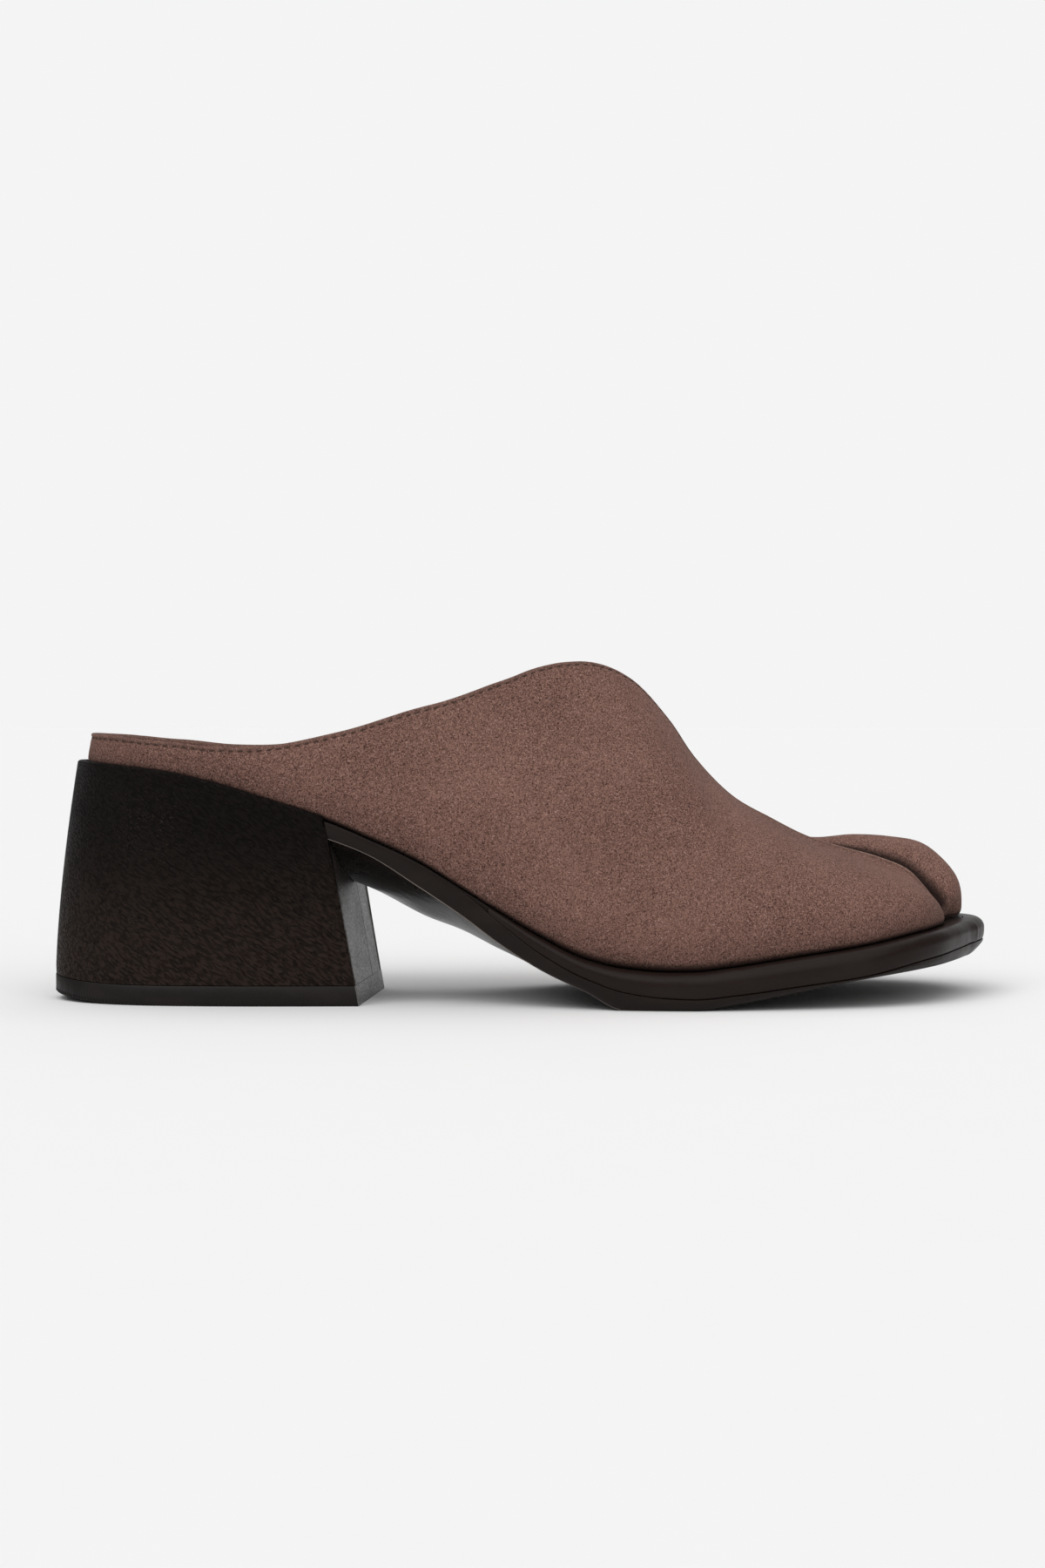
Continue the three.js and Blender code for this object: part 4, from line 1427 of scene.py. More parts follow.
            under = start - normal * 2 * half - up * min(self.fold_under, deep)
            bottom = last.groove_point(place)
            seam = bottom + last.seam_inward(place) * self.wall
            if k == self.stations:
                seam = out["lining"][k, -1]
            # Painted shade under the folded edge, and a painted highlight along its crest.
            crevice = np.array([0.0] * (arc - 3) + [0.3, 0.8, 1.0, 1.0, 1.0])
            worn = np.array([1.0] * (arc - 2) + [0.0] * 4)
            over = skin.add(np.array([*fold, under, bottom]), crevice=crevice, worn=worn)
            inside = skin.add(seam[None])
            ring = [
                lines[Side.OUTER, "face", k],
                over,
                lines[Side.INNER, "face", k][::-1],
                lines[Side.INNER, "lining", k],
                inside,
                lines[Side.OUTER, "lining", k][::-1],
            ]
            rings.append(np.concatenate(ring))
        count = len(rings[0])
        slots = [0] * (2 * size + arc + 2) + [1] * (count - 2 * size - arc - 3) + [0]
        for a, b in zip(rings, rings[1:]):
            skin.band(a, b, slots)
        first = rings[0]
        seam_point = first[3 * size + arc + 2]
        over_chain = first[size - 1 : size + arc + 3]
        skin.cap(np.array([*rims[0], seam_point, *rims[1][::-1], *over_chain[::-1][1:-1]]))
        return skin.piece("suede_upper", last, [suede, lining], sharp=70.0)

    def seam_run(self, side: Side, first: float, final: float) -> tuple[np.ndarray, np.ndarray]:
        """The line that the stitches follow.

        Args:
            side: Side of the shoe.
            first: Rib place where it starts.
            final: Rib place where it ends.

        Returns:
            Points on the face and the outward directions there.
        """
        grid = self.made[side]

        def read(name: str, k: int) -> list[float]:
            """The grid's value at the stitches' inset."""
            edge, values = grid["edge"][k][::-1], grid[name][k][::-1]
            return [float(np.interp(self.stitch_inset, edge, values[:, c])) for c in range(3)]

        stations = range(round(first * self.per_rib), round(final * self.per_rib) + 1)
        outs = unit(np.array([read("normal", k) for k in stations]))
        return np.array([read("face", k) for k in stations]), outs


@dataclass
class Stitching:
    """Sewn lines: short stitches in a row, joined into one mesh."""

    last: Last
    pitch: float = 2.5
    length: float = 1.75
    thick: float = 0.38
    proud: float = 0.08
    sink: float = 0.25
    slant: float = 0.12
    look: float = 0.4
    around: int = 8
    along: int = 5

    def place_along(self, spots: np.ndarray, outs: np.ndarray) -> list[tuple[Spot, Spot, Spot]]:
        """Spaces the stitches of one line.

        Args:
            spots: Points of the line.
            outs: Outward directions there.

        Returns:
            Middle, direction and outward direction of each stitch.
        """
        run = np.concatenate([[0], np.cumsum(np.linalg.norm(np.diff(spots, axis=0), axis=1))])
        count = max(1, round(run[-1] / self.pitch))
        at = (np.arange(count) + 0.5) * run[-1] / count

        def read(where: np.ndarray, values: np.ndarray) -> np.ndarray:
            """Values of the line at distances along it."""
            return np.stack([np.interp(where, run, values[:, c]) for c in range(3)], axis=1)

        to = read(at + self.look, spots) - read(at - self.look, spots)
        return [(m, unit(t), o) for m, t, o in zip(read(at, spots), to, unit(read(at, outs)))]

    def build(
        self, name: str, lines: Sequence[tuple[np.ndarray, np.ndarray]], thread: bpy.types.Material
    ) -> Piece:
        """Makes all the stitches of some lines.

        Args:
            name: The piece's name.
            lines: Each line's points and outward directions.
            thread: The finish.

        Returns:
            The piece.
        """
        skin = Skin()
        for spots, outs in lines:
            for middle, run, out in self.place_along(spots, outs):
                cross = unit(np.cross(out, run))
                run = unit(run + cross * self.slant)
                cross = unit(np.cross(out, run))
                rings = []
                for k in range(self.along):
                    share = k / (self.along - 1) * 2 - 1
                    round_off = math.sqrt(max(0.06, 1 - share**4))
                    dip = self.sink * share**4
                    angles = np.linspace(0, 2 * math.pi, self.around, endpoint=False)[:, None]
                    ring = cross * np.cos(angles) * self.thick / 2 + out * np.sin(angles) * self.thick / 2
                    centre = middle + run * share * self.length / 2 + out * (self.proud - dip)
                    rings.append(skin.add(centre + ring * round_off))
                for a, b in zip(rings, rings[1:]):
                    skin.band(a, b)
                skin.cap(rings[0][::-1])
                skin.cap(rings[-1])
        return skin.piece(name, self.last, [thread], sharp=60.0)


@dataclass
class SockInsole:
    """The sock on its board, fitted to the lining."""

    last: Last
    upper: SuedeUpper
    thickness: float = 2.6
    notch: float = 5.5
    steps: int = 10
    round_off: float = 0.7

    def lining_at(self, row: np.ndarray, height: float) -> Spot:
        """Point of a lining row at a height over its foot.

        Args:
            row: The row, from the foot up.
            height: The height in millimetres.

        Returns:
            The point.
        """
        rise = row[:, 2] - row[0, 2]
        above = np.nonzero(rise >= height)[0]
        k = int(above[0]) if len(above) else len(row) - 1
        if k == 0:
            return row[0]
        climb = rise[k] - rise[k - 1]
        share = min(1.0, max(0.0, (height - rise[k - 1]) / climb)) if climb > 0 else 0.0
        return row[k - 1] + (row[k] - row[k - 1]) * share

    def side(self, side: Side, place: float) -> np.ndarray:
        """Edge of the sock, from the bottom up.

        Args:
            side: Side of the shoe.
            place: Rib place.

        Returns:
            The points.
        """
        last, station = self.last, round(place * self.upper.per_rib)
        row = self.upper.made[side]["lining"][station]
        out = last.foot_point(side, place)[1]
        inward = last.fit + 0.1 + self.notch * min(1.0, max(0.0, last.rib_value("outTuck", place)))
        higher = self.lining_at(row, self.thickness)
        widening = float((higher[:2] - row[0, :2]) @ out)
        spots = []
        for lift, inset in ((0, 0), (0.6, 0), (0.86, 0.2), (0.97, 0.55), (1, 1)):
            base = row[0] + (higher - row[0]) * (lift if widening < 0 else 0)
            spot = base[:2] - out * (inward + inset * self.round_off)
            spots.append(np.array([spot[0], spot[1], last.foot_line(spot[0]) + lift * self.thickness]))
        return np.array(spots)

    def build(self, sock: bpy.types.Material) -> Piece:
        """Makes the sock.

        Args:
            sock: The finish.

        Returns:
            The piece.
        """
        last, skin, rings = self.last, Skin(), []
        for k in range(self.upper.stations + 1):
            place = k / self.upper.per_rib
            sides = (self.side(Side.OUTER, place), self.side(Side.INNER, place))

            def over(x: float, across: float) -> float:
                """Top of the sock, a little dished under the foot.

                Args:
                    x: Place along the shoe.
                    across: Share across.

                Returns:
                    The height.
                """
                dish = 0.5 * (1 - across * across) * ease(place, 0.5, 3) * (1 - ease(place, 19, 22))
                return last.foot_line(x) + self.thickness - dish

            ring = last.rung(place, sides, lambda x, across: last.foot_line(x), over, self.steps)
            rings.append(skin.add(ring))
        for a, b in zip(rings, rings[1:]):
            skin.band(a, b)
        return skin.piece("insole_sock", last, [sock])

    def seam_run(self, side: Side, inset: float) -> tuple[np.ndarray, np.ndarray]:
        """Line at an inset from the sock's edge.

        Args:
            side: Side of the shoe.
            inset: Distance from the edge.

        Returns:
            Points on the sock and the outward directions there.
        """
        last, spots = self.last, []
        for place in np.arange(0, last.end - 2.4, 0.125):
            spot = self.side(side, float(place))[-1]
            out = last.foot_point(side, float(place))[1]
            plan = spot[:2] - out * inset
            spots.append([plan[0], plan[1], last.foot_line(plan[0]) + self.thickness - 0.05])
        spots = np.array(spots)
        return spots, np.tile([0.0, 0.0, 1.0], (len(spots), 1))


@dataclass
class Breast:
    """The heel's front plane, which trims what stands behind or ahead of it."""

    last: Last
    groove_half: float = 0.28
    groove_depth: float = 0.35
    margin: float = 1.9
    margin_lean: float = 0.05
    low: float = 9.0
    flat: float = 0.999
    weld: float = 1e-7
    upright: float = 0.4

    def cut(
        self,
        piece: Piece,
        keep_behind: bool,
        gap: float,
        rounds: Sequence[tuple[float, float]],
        slot: int = 0,
        line: float | None = None,
    ) -> Piece:
        """Trims a piece at the plane and closes it.

        Args:
            piece: What is cut.
            keep_behind: Whether the heel's side stays.
            gap: Distance of the cut ahead of the plane.
            rounds: Steps of the rounded edge: depth behind the cut and how far the edge is drawn in.
            slot: Finish of the closing face.
            line: Where a parting line runs down the closing face, if there is one.

        Returns:
            The piece.
        """
        last = self.last
        normal = Vector((1, -last.breast_skew, last.breast_lean)).normalized()
        foot = (np.array([last.breast_foot + gap, 0, 0]) + last.shift) * MM
        shell = bmesh.new()
        shell.from_mesh(piece.obj.data)
        shell.normal_update()
        for depth, inset in (*rounds, (0.0, rounds[-1][1] if rounds else 0.0)):
            made = bmesh.ops.bisect_plane(
                shell,
                geom=[*shell.verts, *shell.edges, *shell.faces],
                dist=self.weld,
                plane_co=Vector(foot) - normal * depth * MM,
                plane_no=normal,
                clear_outer=keep_behind and depth == 0.0,
                clear_inner=not keep_behind and depth == 0.0,
            )
            if not inset:
                continue
            shell.normal_update()
            for vert in {v for v in made["geom_cut"] if isinstance(v, bmesh.types.BMVert)}:
                out = vert.normal - normal * vert.normal.dot(normal)
                out.z = 0.0
                if out.length > self.upright:
                    vert.co -= out.normalized() * inset * MM
        rim = [edge for edge in shell.edges if edge.is_boundary]
        closed = bmesh.ops.contextual_create(shell, geom=rim)
        for face in closed["faces"]:
            face.material_index = slot
        bmesh.ops.recalc_face_normals(shell, faces=shell.faces)
        if line is not None:
            self.score(shell, normal, line)
        shell.to_mesh(piece.obj.data)
        shell.free()
        piece.smooth()
        return piece

    def score(self, shell: bmesh.types.BMesh, normal: Vector, line: float) -> None:
        """Presses the parting line into the closing face, between the cover's turned-in margins.

        Args:
            shell: The mesh.
            normal: Outward direction of the closing face.
            line: The parting line's distance from the centre line, in millimetres.
        """

        def closing() -> list[bmesh.types.BMFace]:
            """Faces that close the cut."""
            return [face for face in shell.faces if face.normal.dot(normal) > self.flat]

        def split(side: float, lean: float) -> list[bmesh.types.BMVert]:
            """Cuts the closing face along one upright line.

            Args:
                side: The line's distance from the centre line, in millimetres.
                lean: How far it leans.

            Returns:
                The new points.
            """
            cells = closing()
            edges = (edge for face in cells for edge in face.edges)
            verts = (vert for face in cells for vert in face.verts)
            spot = Vector((0.0, (side + self.last.shift[1]) * MM, 0.0))
            geom, across = list(dict.fromkeys([*cells, *edges, *verts])), Vector((0.0, 1.0, lean))
            made = bmesh.ops.bisect_plane(shell, geom=geom, dist=self.weld, plane_co=spot, plane_no=across)
            return [vert for vert in made["geom_cut"] if isinstance(vert, bmesh.types.BMVert)]

        low = [vert for face in closing() for vert in face.verts if vert.co.z < self.low * MM]
        spots = [vert.co.y / MM - self.last.shift[1] for vert in low]
        for edge, inward in ((min(spots), 1), (max(spots), -1)):
            side = edge + inward * self.margin
            split(side, inward * self.margin_lean)
            for vert in split(side + inward * self.groove_half, inward * self.margin_lean):
                vert.co -= normal * self.groove_depth / 2 * MM
            for face in closing():
                middle = face.calc_center_median()
                away = middle.y / MM - self.last.shift[1] - side + inward * self.margin_lean * middle.z / MM
                if away * inward < 0:
                    face.material_index = 0
        split(line - self.groove_half, 0.0)
        split(line + self.groove_half, 0.0)
        for vert in split(line, 0.0):
            vert.co -= normal * self.groove_depth * MM


@dataclass
class Outsole:
    """Keeled waist and forefoot tread, with the ledge that carries the welt."""

    last: Last
    breast: Breast
    bead_reach: float = 4.6
    bead_recess: float = 0.35
    ledge_depth: float = 1.4
    waist_reach: float = 0.8
    waist_ledge: float = 0.5
    undercut: float = 2.2
    waist_undercut: float = 0.5
    joint: float = 0.08
    first: float = 5.0
    per_rib: int = 8
    steps: int = 14
    lip: float = 0.3
    lip_height: float = 0.045
    waist_end: float = 12.0
    # Places over which the painted highlight on the lip fades out.
    lip_highlight: tuple[float, float] = (10.5, 13.0)
    edge: tuple[tuple[float, float], ...] = (
        (0.0, 1.0), (0.025, 0.9), (0.05, 0.81), (0.08, 0.73), (0.12, 0.64), (0.2, 0.5),
        (0.3, 0.35), (0.5, 0.13), (0.7, 0.0), (0.97, 0.0), (1.0, 0.05),
    )

    def edge_reach(self, x: float) -> float:
        """The edge past the foot line."""
        return mix(self.waist_reach, self.bead_reach - self.bead_recess, self.last.sole_value("reach", x))

    def ledge_inside(self, x: float) -> float:
        """Where the ledge ends, past the foot line."""
        return mix(self.waist_reach - self.waist_ledge, -self.ledge_depth, self.last.sole_value("reach", x))

    def side(self, side: Side, place: float) -> np.ndarray:
        """The sole's edge from the underside to its top.

        Args:
            side: Side of the shoe.
            place: Rib place.

        Returns:
            The points.
        """
        last = self.last
        x = last.beside(side, place, 0)[0]
        reach, inside = self.edge_reach(x), self.ledge_inside(x)
        undercut = self.undercut * mix(self.waist_undercut, 1, last.sole_value("reach", x))
        spots = []
        for share, tuck in self.edge:
            offset = reach - undercut * tuck + self.lip * math.exp(-((share / self.lip_height) ** 2))

            def height(at: float) -> float:
                """Height between underside and ledge."""
                return mix(last.under_line(at), last.ledge_line(at), share)

            spots.append(last.beside_at(side, place, offset, height))
        spots.append(last.beside_at(side, place, inside, last.ledge_line))
        spots.append(last.beside_at(side, place, inside, last.seat_top))
        return np.array(spots)

    def build(
        self, edge: bpy.types.Material, waist: bpy.types.Material, tread: bpy.types.Material
    ) -> Piece:
        """Makes the outsole.

        Args:
            edge: Finish of its sides and ledge.
            waist: Finish of the underside of the waist.
            tread: Finish of the forefoot's underside.

        Returns:
            The piece.
        """
        last, skin, rings = self.last, Skin(), []
        under_count = 2 * self.steps - 1
        places = np.linspace(self.first, last.end, round((last.end - self.first) * self.per_rib) + 1)

        def under(x: float, across: float) -> float:
            """Underside with the keel."""
            return last.under_line(x) - last.belly(x, across)

        for place in places.tolist():
            sides = (self.side(Side.OUTER, place), self.side(Side.INNER, place))
            ring = last.rung(place, sides, under, lambda x, across: last.seat_top(x), self.steps)
            # Painted highlight on the rows just above the lip, fading out towards the forefoot.
            worn = np.zeros(len(ring))
            worn[[under_count + 1, len(ring) - 2]] = 1 - ease(place, *self.lip_highlight)
            rings.append(skin.add(ring, worn=worn))
        count = len(rings[0])
        for a, b, place in zip(rings, rings[1:], places):
            below = 1 if place < self.waist_end else 2
            skin.band(a, b, [below] * under_count + [0] * (count - under_count - 1) + [below])
        skin.cap(rings[0][::-1])
        piece = skin.piece("outsole_unit", last, [edge, waist, tread], sharp=32.0)
        return self.breast.cut(piece, False, self.joint, [])


@dataclass
class Welt:
    """The round bead along the forefoot."""

    last: Last
    sole: Outsole
    bead_round: float = 3.1
    start_share: float = 0.9
    first: float = 8.5
    per_rib: int = 8
    steps: int = 18
    flash: float = 0.22
    flash_place: float = 0.12
    flash_half: float = 0.05
    square: float = 0.16
    joint: float = 0.03

    def ring(self, side: Side, place: float) -> np.ndarray:
        """Section of the bead at one place.

        Args:
            side: Side of the shoe.
            place: Rib place.

        Returns:
            The section's points.
        """
        last = self.last
        x = last.beside(side, place, 0)[0]
        share = last.sole_value("reach", x)
        inside = self.sole.ledge_inside(x) + last.fit
        reach = mix(self.sole.waist_reach, self.sole.bead_reach, share)
        half = mix((self.sole.waist_reach - inside) * self.start_share, self.bead_round, share)
        from_seam = (place - last.end + self.flash_place) / self.flash_half
        ridge = self.flash * math.exp(-(from_seam**2)) if side is Side.OUTER else 0.0

        def height(at: float, lift: float) -> float:
            """Height of the bead at a share of its own."""
            return mix(last.ledge_line(at) + self.joint, last.seat_top(at), lift)

        spots = [last.beside_at(side, place, inside, lambda at: height(at, 0.0))]
        for k in range(self.steps + 1):
            angle = (k / self.steps - 0.5) * math.pi
            lift = 0.5 + 0.5 * math.sin(angle)
            round_off = max(0.0, math.cos(angle)) ** (self.square if angle < 0 else 1.0)
            offset = reach - half + (half + ridge) * round_off
            spots.append(last.beside_at(side, place, offset, lambda at: height(at, lift)))
        spots.append(last.beside_at(side, place, inside, last.seat_top))
        return np.array(spots)

    def build(self, finish: bpy.types.Material) -> Piece:
        """Makes the bead.

        Args:
            finish: Its finish.

        Returns:
            The piece.
        """
        last, skin = self.last, Skin()
        places = np.linspace(self.first, last.end, round((last.end - self.first) * self.per_rib) + 1)
        rings = [skin.add(self.ring(Side.OUTER, float(p))) for p in places]
        rings += [skin.add(self.ring(Side.INNER, float(p))) for p in places[-2::-1]]
        for a, b in zip(rings, rings[1:]):
            skin.band(a, b)
        skin.cap(rings[0][::-1])
        skin.cap(rings[-1])
        return skin.piece("welt_bead", last, [finish], sharp=50.0)


@dataclass
class HeelBlock:
    """The block heel with its cup rim and flat breast."""

    last: Last
    breast: Breast
    foot_width: float = 52.0
    flare: float = 1.5
    cup_reach: float = 3.0
    cup_front_reach: float = 1.2
    cup_lip: float = 0.9
    cup_bevel: float = 0.8
    bevel_run: float = 0.45
    cup_gap: float = 0.45
    lift_height: float = 5.3
    lift_rise: float = 1.4
    kick: float = 2.1
    kick_length: float = 25.0
    parting: float = 7.0
    joint: float = 0.08
    ribs: int = 7
    per_rib: int = 14
    side_steps: int = 26
    steps: int = 8
    foot_inset: float = 0.35
    foot_round: float = 0.12
    lip_turns: tuple[float, ...] = (0.25, 0.5, 0.75, 1.0)
    breast_round: tuple[tuple[float, float], ...] = ((0.9, 0.0), (0.5, 0.06), (0.22, 0.2))

    def foot_spot(self, side: Side, place: float) -> Spot:
        """The heel's foot in plan.

        Args:
            side: Side of the shoe.
            place: Rib place.

        Returns:
            Its x and y.
        """
        last = self.last
        spot = last.foot_point(side, place)[0]
        start, overhang = last.loop_x[0], last.rear_overhang
        reach = last.shoe_length * last.rib["outX"][self.ribs - 1] - start
        x = overhang + (spot[0] - start) * (last.breast_foot - overhang) / reach
        return np.array([x, spot[1] * self.foot_width / last.heel_width])

    def rear(self, x: float) -> float:
        """How much of the rear kick there is at x."""
        return min(1.0, max(0.0, (self.kick_length - x) / self.kick_length)) ** 2

    def lift_top(self, x: float) -> float:
        """Height of the line between heel and top lift."""
        return self.lift_height + self.lift_rise * self.rear(x)

    def lift_floor(self, x: float) -> float:
        """Height of the top lift's underside."""
        return self.kick * self.rear(x)

    def side(self, side: Side, place: float) -> np.ndarray:
        """The heel's side from the top lift to the rim and down to the seat.

        Args:
            side: Side of the shoe.
            place: Rib place.

        Returns:
            The points.
        """
        last = self.last
        low = self.foot_spot(side, place)
        x = last.foot_point(side, place)[0][0]
        reach = mix(self.cup_reach, self.cup_front_reach, min(1.0, max(0.0, x / last.breast_foot)))
        rim = last.beside(side, place, reach)
        out = last.foot_point(side, place)[1]
        bottom, lip = self.lift_top(low[0]) + self.joint, last.foot_line(rim[0]) + self.cup_lip
        top = lip - self.cup_bevel
        spots = [np.array([*(low - out * self.foot_inset), bottom])]
        for k in range(self.side_steps + 1):
            share = k / self.side_steps
            rounded = self.foot_round if k == 0 else 0.0
            plan = low + (rim - low) * share**self.flare - out * rounded
            spots.append(np.array([plan[0], plan[1], mix(bottom + rounded, top, share)]))
        inner = mix(reach, self.cup_gap, self.bevel_run)
        for turn in self.lip_turns:
            angle = turn * math.pi / 2
            plan = last.beside(side, place, mix(inner, reach, math.cos(angle)))
            height = mix(top, lip, math.sin(angle)) + last.foot_line(plan[0]) - last.foot_line(rim[0])
            spots.append(np.array([plan[0], plan[1], height]))
        spots.append(last.beside_at(side, place, self.cup_gap, lambda at: last.foot_line(at) + self.cup_lip))
        spots.append(last.beside_at(side, place, self.cup_gap, last.seat_top))
        return np.array(spots)

    def build(self, hide: bpy.types.Material, face: bpy.types.Material) -> Piece:
        """Makes the block.

        Args:
            hide: Finish of the sides.
            face: Finish of the breast.

        Returns:
            The piece.
        """
        last, skin, rings = self.last, Skin(), []

        def under(x: float, across: float) -> float:
            """Underside of the block."""
            return self.lift_top(x) + self.joint

        for k in range(self.ribs * self.per_rib + 1):
            place = k / self.per_rib
            sides = (self.side(Side.OUTER, place), self.side(Side.INNER, place))
            ring = last.rung(place, sides, under, lambda x, across: last.seat_top(x), self.steps)
            rings.append(skin.add(ring))
        for a, b in zip(rings, rings[1:]):
            skin.band(a, b)
        skin.cap(rings[-1])
        piece = skin.piece("heel_cover", last, [hide, face], sharp=40.0)
        return self.breast.cut(piece, True, 0.0, self.breast_round, slot=1, line=self.parting)


@dataclass
class TopLift:
    """The tread under the heel, with a fine milled edge at the floor."""

    last: Last
    heel: HeelBlock
    breast: Breast
    tooth: float = 1.0
    tooth_depth: float = 0.24
    tooth_height: float = 0.9
    tooth_edge: float = 0.35
    bevel: float = 0.25
    per_rib: int = 60
    steps: int = 5

    def build(self, finish: bpy.types.Material, face: bpy.types.Material) -> Piece:
        """Makes the top lift.

        Args:
            finish: Finish of its sides and tread.
            face: Finish of its front.

        Returns:
            The piece.
        """
        last, heel, skin, rings = self.last, self.heel, Skin(), []
        run = 0.0
        before = heel.foot_spot(Side.OUTER, 0.0)
        for k in range(heel.ribs * self.per_rib + 1):
            place = k / self.per_rib
            here = heel.foot_spot(Side.OUTER, place)
            run += float(np.linalg.norm(here - before))
            before = here
            wave = math.sin(run / self.tooth * 2 * math.pi)
            notch = self.tooth_depth * ease(wave, -self.tooth_edge, self.tooth_edge)
            sides = []
            for side in Side:
                spot, out = heel.foot_spot(side, place), last.foot_point(side, place)[1]
                floor, top = heel.lift_floor(spot[0]), heel.lift_top(spot[0])
                rows = (
                    (self.bevel + notch, 0.0), (notch, 0.3), (notch, self.tooth_height),
                    (0.0, self.tooth_height + self.bevel), (0.0, top - floor - 0.12), (0.1, top - floor),
                )
                sides.append(np.array([[*(spot - out * inset), floor + rise] for inset, rise in rows]))
            edges = (sides[0], sides[1])
            ring = last.rung(
                place, edges, lambda x, _: heel.lift_floor(x), lambda x, _: heel.lift_top(x), self.steps
            )
            rings.append(skin.add(ring))
        for a, b in zip(rings, rings[1:]):
            skin.band(a, b)
        skin.cap(rings[-1])
        piece = skin.piece("top_lift_tread", last, [finish, face], sharp=40.0)
        return self.breast.cut(piece, True, 0.0, [], slot=1)


@dataclass
class Studio:
    """Pale floor, soft light and the camera."""

    last: Last
    floor_half: float = 14.0
    sensor: float = 36.0
    focal_px: float = 3220.0
    frame_px: float = 1800.0
    camera: tuple[float, float, float] = (126.7, -759.0, 77.0)
    tilt: float = 1.459
    room: float = 0.22
    paper: float = 0.905
    lamps: tuple[tuple[str, float, float, float, float], ...] = (
        ("overhead", 90.0, 86.0, 80.0, 1.22),
        ("key", 235.0, 44.0, 42.0, 1.15),
        ("fill", 300.0, 36.0, 50.0, 0.74),
        ("backdrop", 82.0, 14.0, 66.0, 0.38),
    )

    def aim(self) -> None:
        """Sets the camera at the height of the peaks, looking at the outer side."""
        data = bpy.data.cameras.new("camera")
        data.sensor_width = self.sensor
        data.sensor_fit = "AUTO"
        data.lens = self.sensor * self.focal_px / self.frame_px
        data.clip_start, data.clip_end = 0.02, 50.0
        camera = bpy.data.objects.new("camera", data)
        bpy.context.scene.collection.objects.link(camera)
        camera.location = Vector((np.array(self.camera) + self.last.shift) * MM)
        camera.rotation_euler = (math.radians(90.0 - self.tilt), 0.0, 0.0)
        bpy.context.scene.camera = camera

    def floor(self, paper: bpy.types.Material) -> None:
        """Lays the floor.

        Args:
            paper: Its finish.
        """
        mesh = bpy.data.meshes.new("floor")
        half = self.floor_half
        corners = [(-half, -half, 0), (half, -half, 0), (half, half, 0), (-half, half, 0)]
        mesh.from_pydata(corners, [], [(0, 1, 2, 3)])
        mesh.materials.append(paper)
        obj = bpy.data.objects.new("floor", mesh)
        bpy.context.scene.collection.objects.link(obj)
        obj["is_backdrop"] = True

    def lamp(self, name: str, azimuth: float, height: float, spread: float, strength: float) -> None:
        """Hangs one soft lamp far away, so that it lights the whole floor evenly.

        Args:
            name: Its name.
            azimuth: Degrees round from the toe's direction towards the inner side.
            height: Degrees above the floor.
            spread: Width of the lamp as seen from the shoe, in degrees.
            strength: Light that it throws on a face turned to it.
        """
        data = bpy.data.lights.new(name, "SUN")
        data.angle, data.energy = math.radians(spread), strength
        lamp = bpy.data.objects.new(name, data)
        bpy.context.scene.collection.objects.link(lamp)
        turn, rise = math.radians(azimuth), math.radians(height)
        towards = Vector((math.cos(turn) * math.cos(rise), math.sin(turn) * math.cos(rise), math.sin(rise)))
        lamp.rotation_euler = (-towards).to_track_quat("-Z", "Y").to_euler()

    def light(self) -> None:
        """Lights the shoe from above and the front, in a dim room that the camera sees as pale paper."""
        world = bpy.data.worlds.new("room")
        bpy.context.scene.world = world
        world.use_nodes = True
        graph = Graph(world.node_tree)
        dim = world.node_tree.nodes["Background"]
        dim.inputs["Color"].default_value = (1.0, 1.0, 1.0, 1.0)
        dim.inputs["Strength"].default_value = self.room
        seen = graph.add("Background", {"Color": (self.paper, self.paper, self.paper, 1), "Strength": 1.0})
        ray = graph.add("LightPath").outputs["Is Camera Ray"]
        blend = graph.add("MixShader", {0: ray, 1: dim.outputs[0], 2: seen.outputs[0]})
        graph.link(blend.outputs[0], world.node_tree.nodes["World Output"].inputs["Surface"])
        for lamp in self.lamps:
            self.lamp(*lamp)

    def set_up(self, paper: bpy.types.Material) -> None:
        """Camera, floor and lights."""
        bpy.context.scene.view_settings.view_transform = "Standard"
        self.aim()
        self.floor(paper)
        self.light()


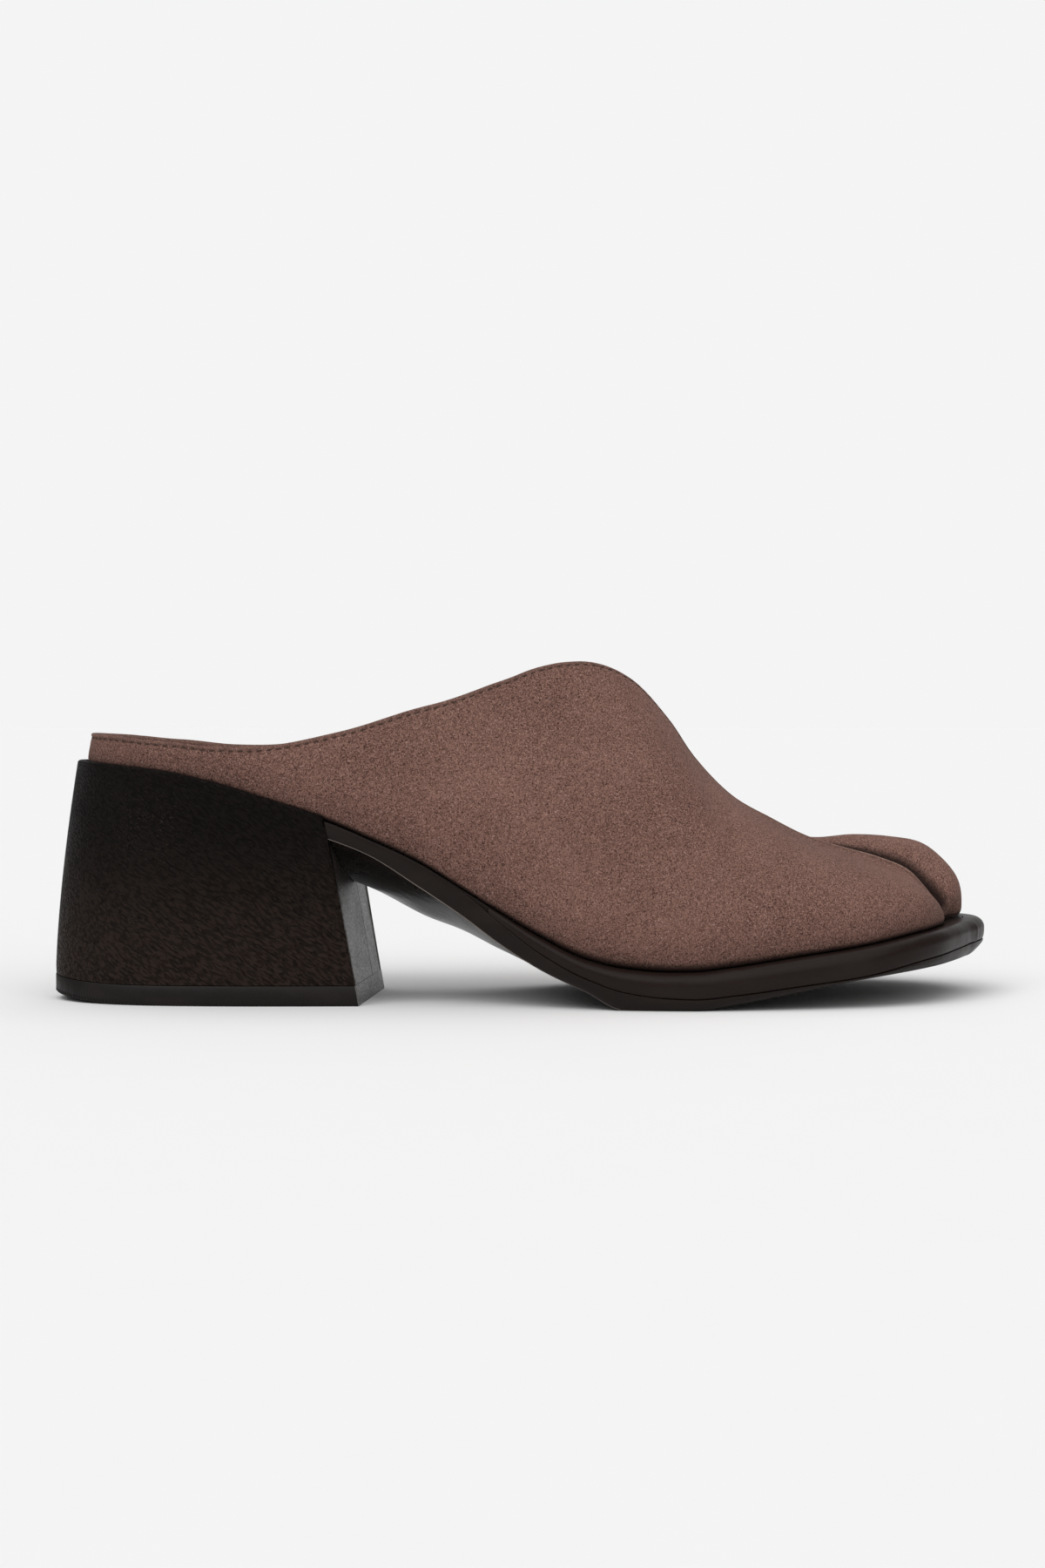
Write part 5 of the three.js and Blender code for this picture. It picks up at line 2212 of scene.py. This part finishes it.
def main() -> None:
    """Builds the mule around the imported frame."""
    logging.basicConfig(level=logging.INFO, format="%(name)s: %(message)s")
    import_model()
    low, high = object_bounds()
    last = Last()
    last.settle(low, high)
    effects = Effects()
    thread = Thread("thread", effects).make()

    upper = SuedeUpper(last)
    lining = SmoothLeather("lining", effects, tone="4c3d36").make()
    upper.build(Suede("suede", effects).make(), lining).ride("suede", "upper")
    stitching = Stitching(last)
    rim_lines = [upper.seam_run(Side.OUTER, 0.5, 14.0), upper.seam_run(Side.INNER, 0.5, 13.6)]
    stitching.build("rim_stitches", rim_lines, thread).ride("suede")
    fold_thread = Thread("fold_thread", effects, tone="4f3a33", lit="7d6156").make()
    fold_lines = [upper.seam_run(Side.OUTER, 14.1, 22.0)]
    Stitching(last, proud=0.03, thick=0.28).build("fold_stitches", fold_lines, fold_thread).ride("suede")

    insole = SockInsole(last, upper)
    insole.build(SmoothLeather("sock", effects, tone="3d302a", cell=1100.0).make()).ride("sock", "insole")
    sock_lines = [insole.seam_run(side, 3.2) for side in Side]
    Stitching(last, proud=0.05, thick=0.36).build("sock_stitches", sock_lines, thread).ride("sock")

    breast = Breast(last)
    outsole = Outsole(last, breast)
    edge = Rubber("sole_edge", effects, tone="1a1310", smooth=0.36, dull=0.52, gloss=0.14).make()
    waist = Rubber(
        "waist_gloss", effects, tone="100c0a", smooth=0.24, dull=0.36, gloss=0.16, speckle=0.00002
    ).make()
    tread = Rubber("tread_rubber", effects, tone="16120f", smooth=0.5, dull=0.7, speckle=0.00012).make()
    outsole.build(edge, waist, tread).ride("sole", "outsole")
    bead = Rubber("welt_rubber", effects, tone="1e1512", smooth=0.34, dull=0.5, gloss=0.13).make()
    Welt(last, outsole).build(bead).ride("welt", "welt")

    heel = HeelBlock(last, breast)
    # The breast face is greyer and lighter than the heel's sides: partly its own finish, partly a painted
    # highlight for the light that it catches.
    face = HeelHide(
        "breast_face", effects, low="38322e", high="38322e", furrow="1f1a17", cell=1900.0, stretch=0.9,
        smooth=0.3, dull=0.42, depth=0.0001, gloss=0.4,
    ).make()
    heel.build(HeelHide("heel_hide", effects).make(), face).ride("heel", "heel_block")
    lift = Rubber("lift_rubber", effects, tone="14100e", smooth=0.5, dull=0.66).make()
    TopLift(last, heel, breast).build(lift, face).ride("lift", "top_lift")

    Studio(last).set_up(Paper("studio_paper", effects).make())
    low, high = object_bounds()


if __name__ == "__main__":
    main()
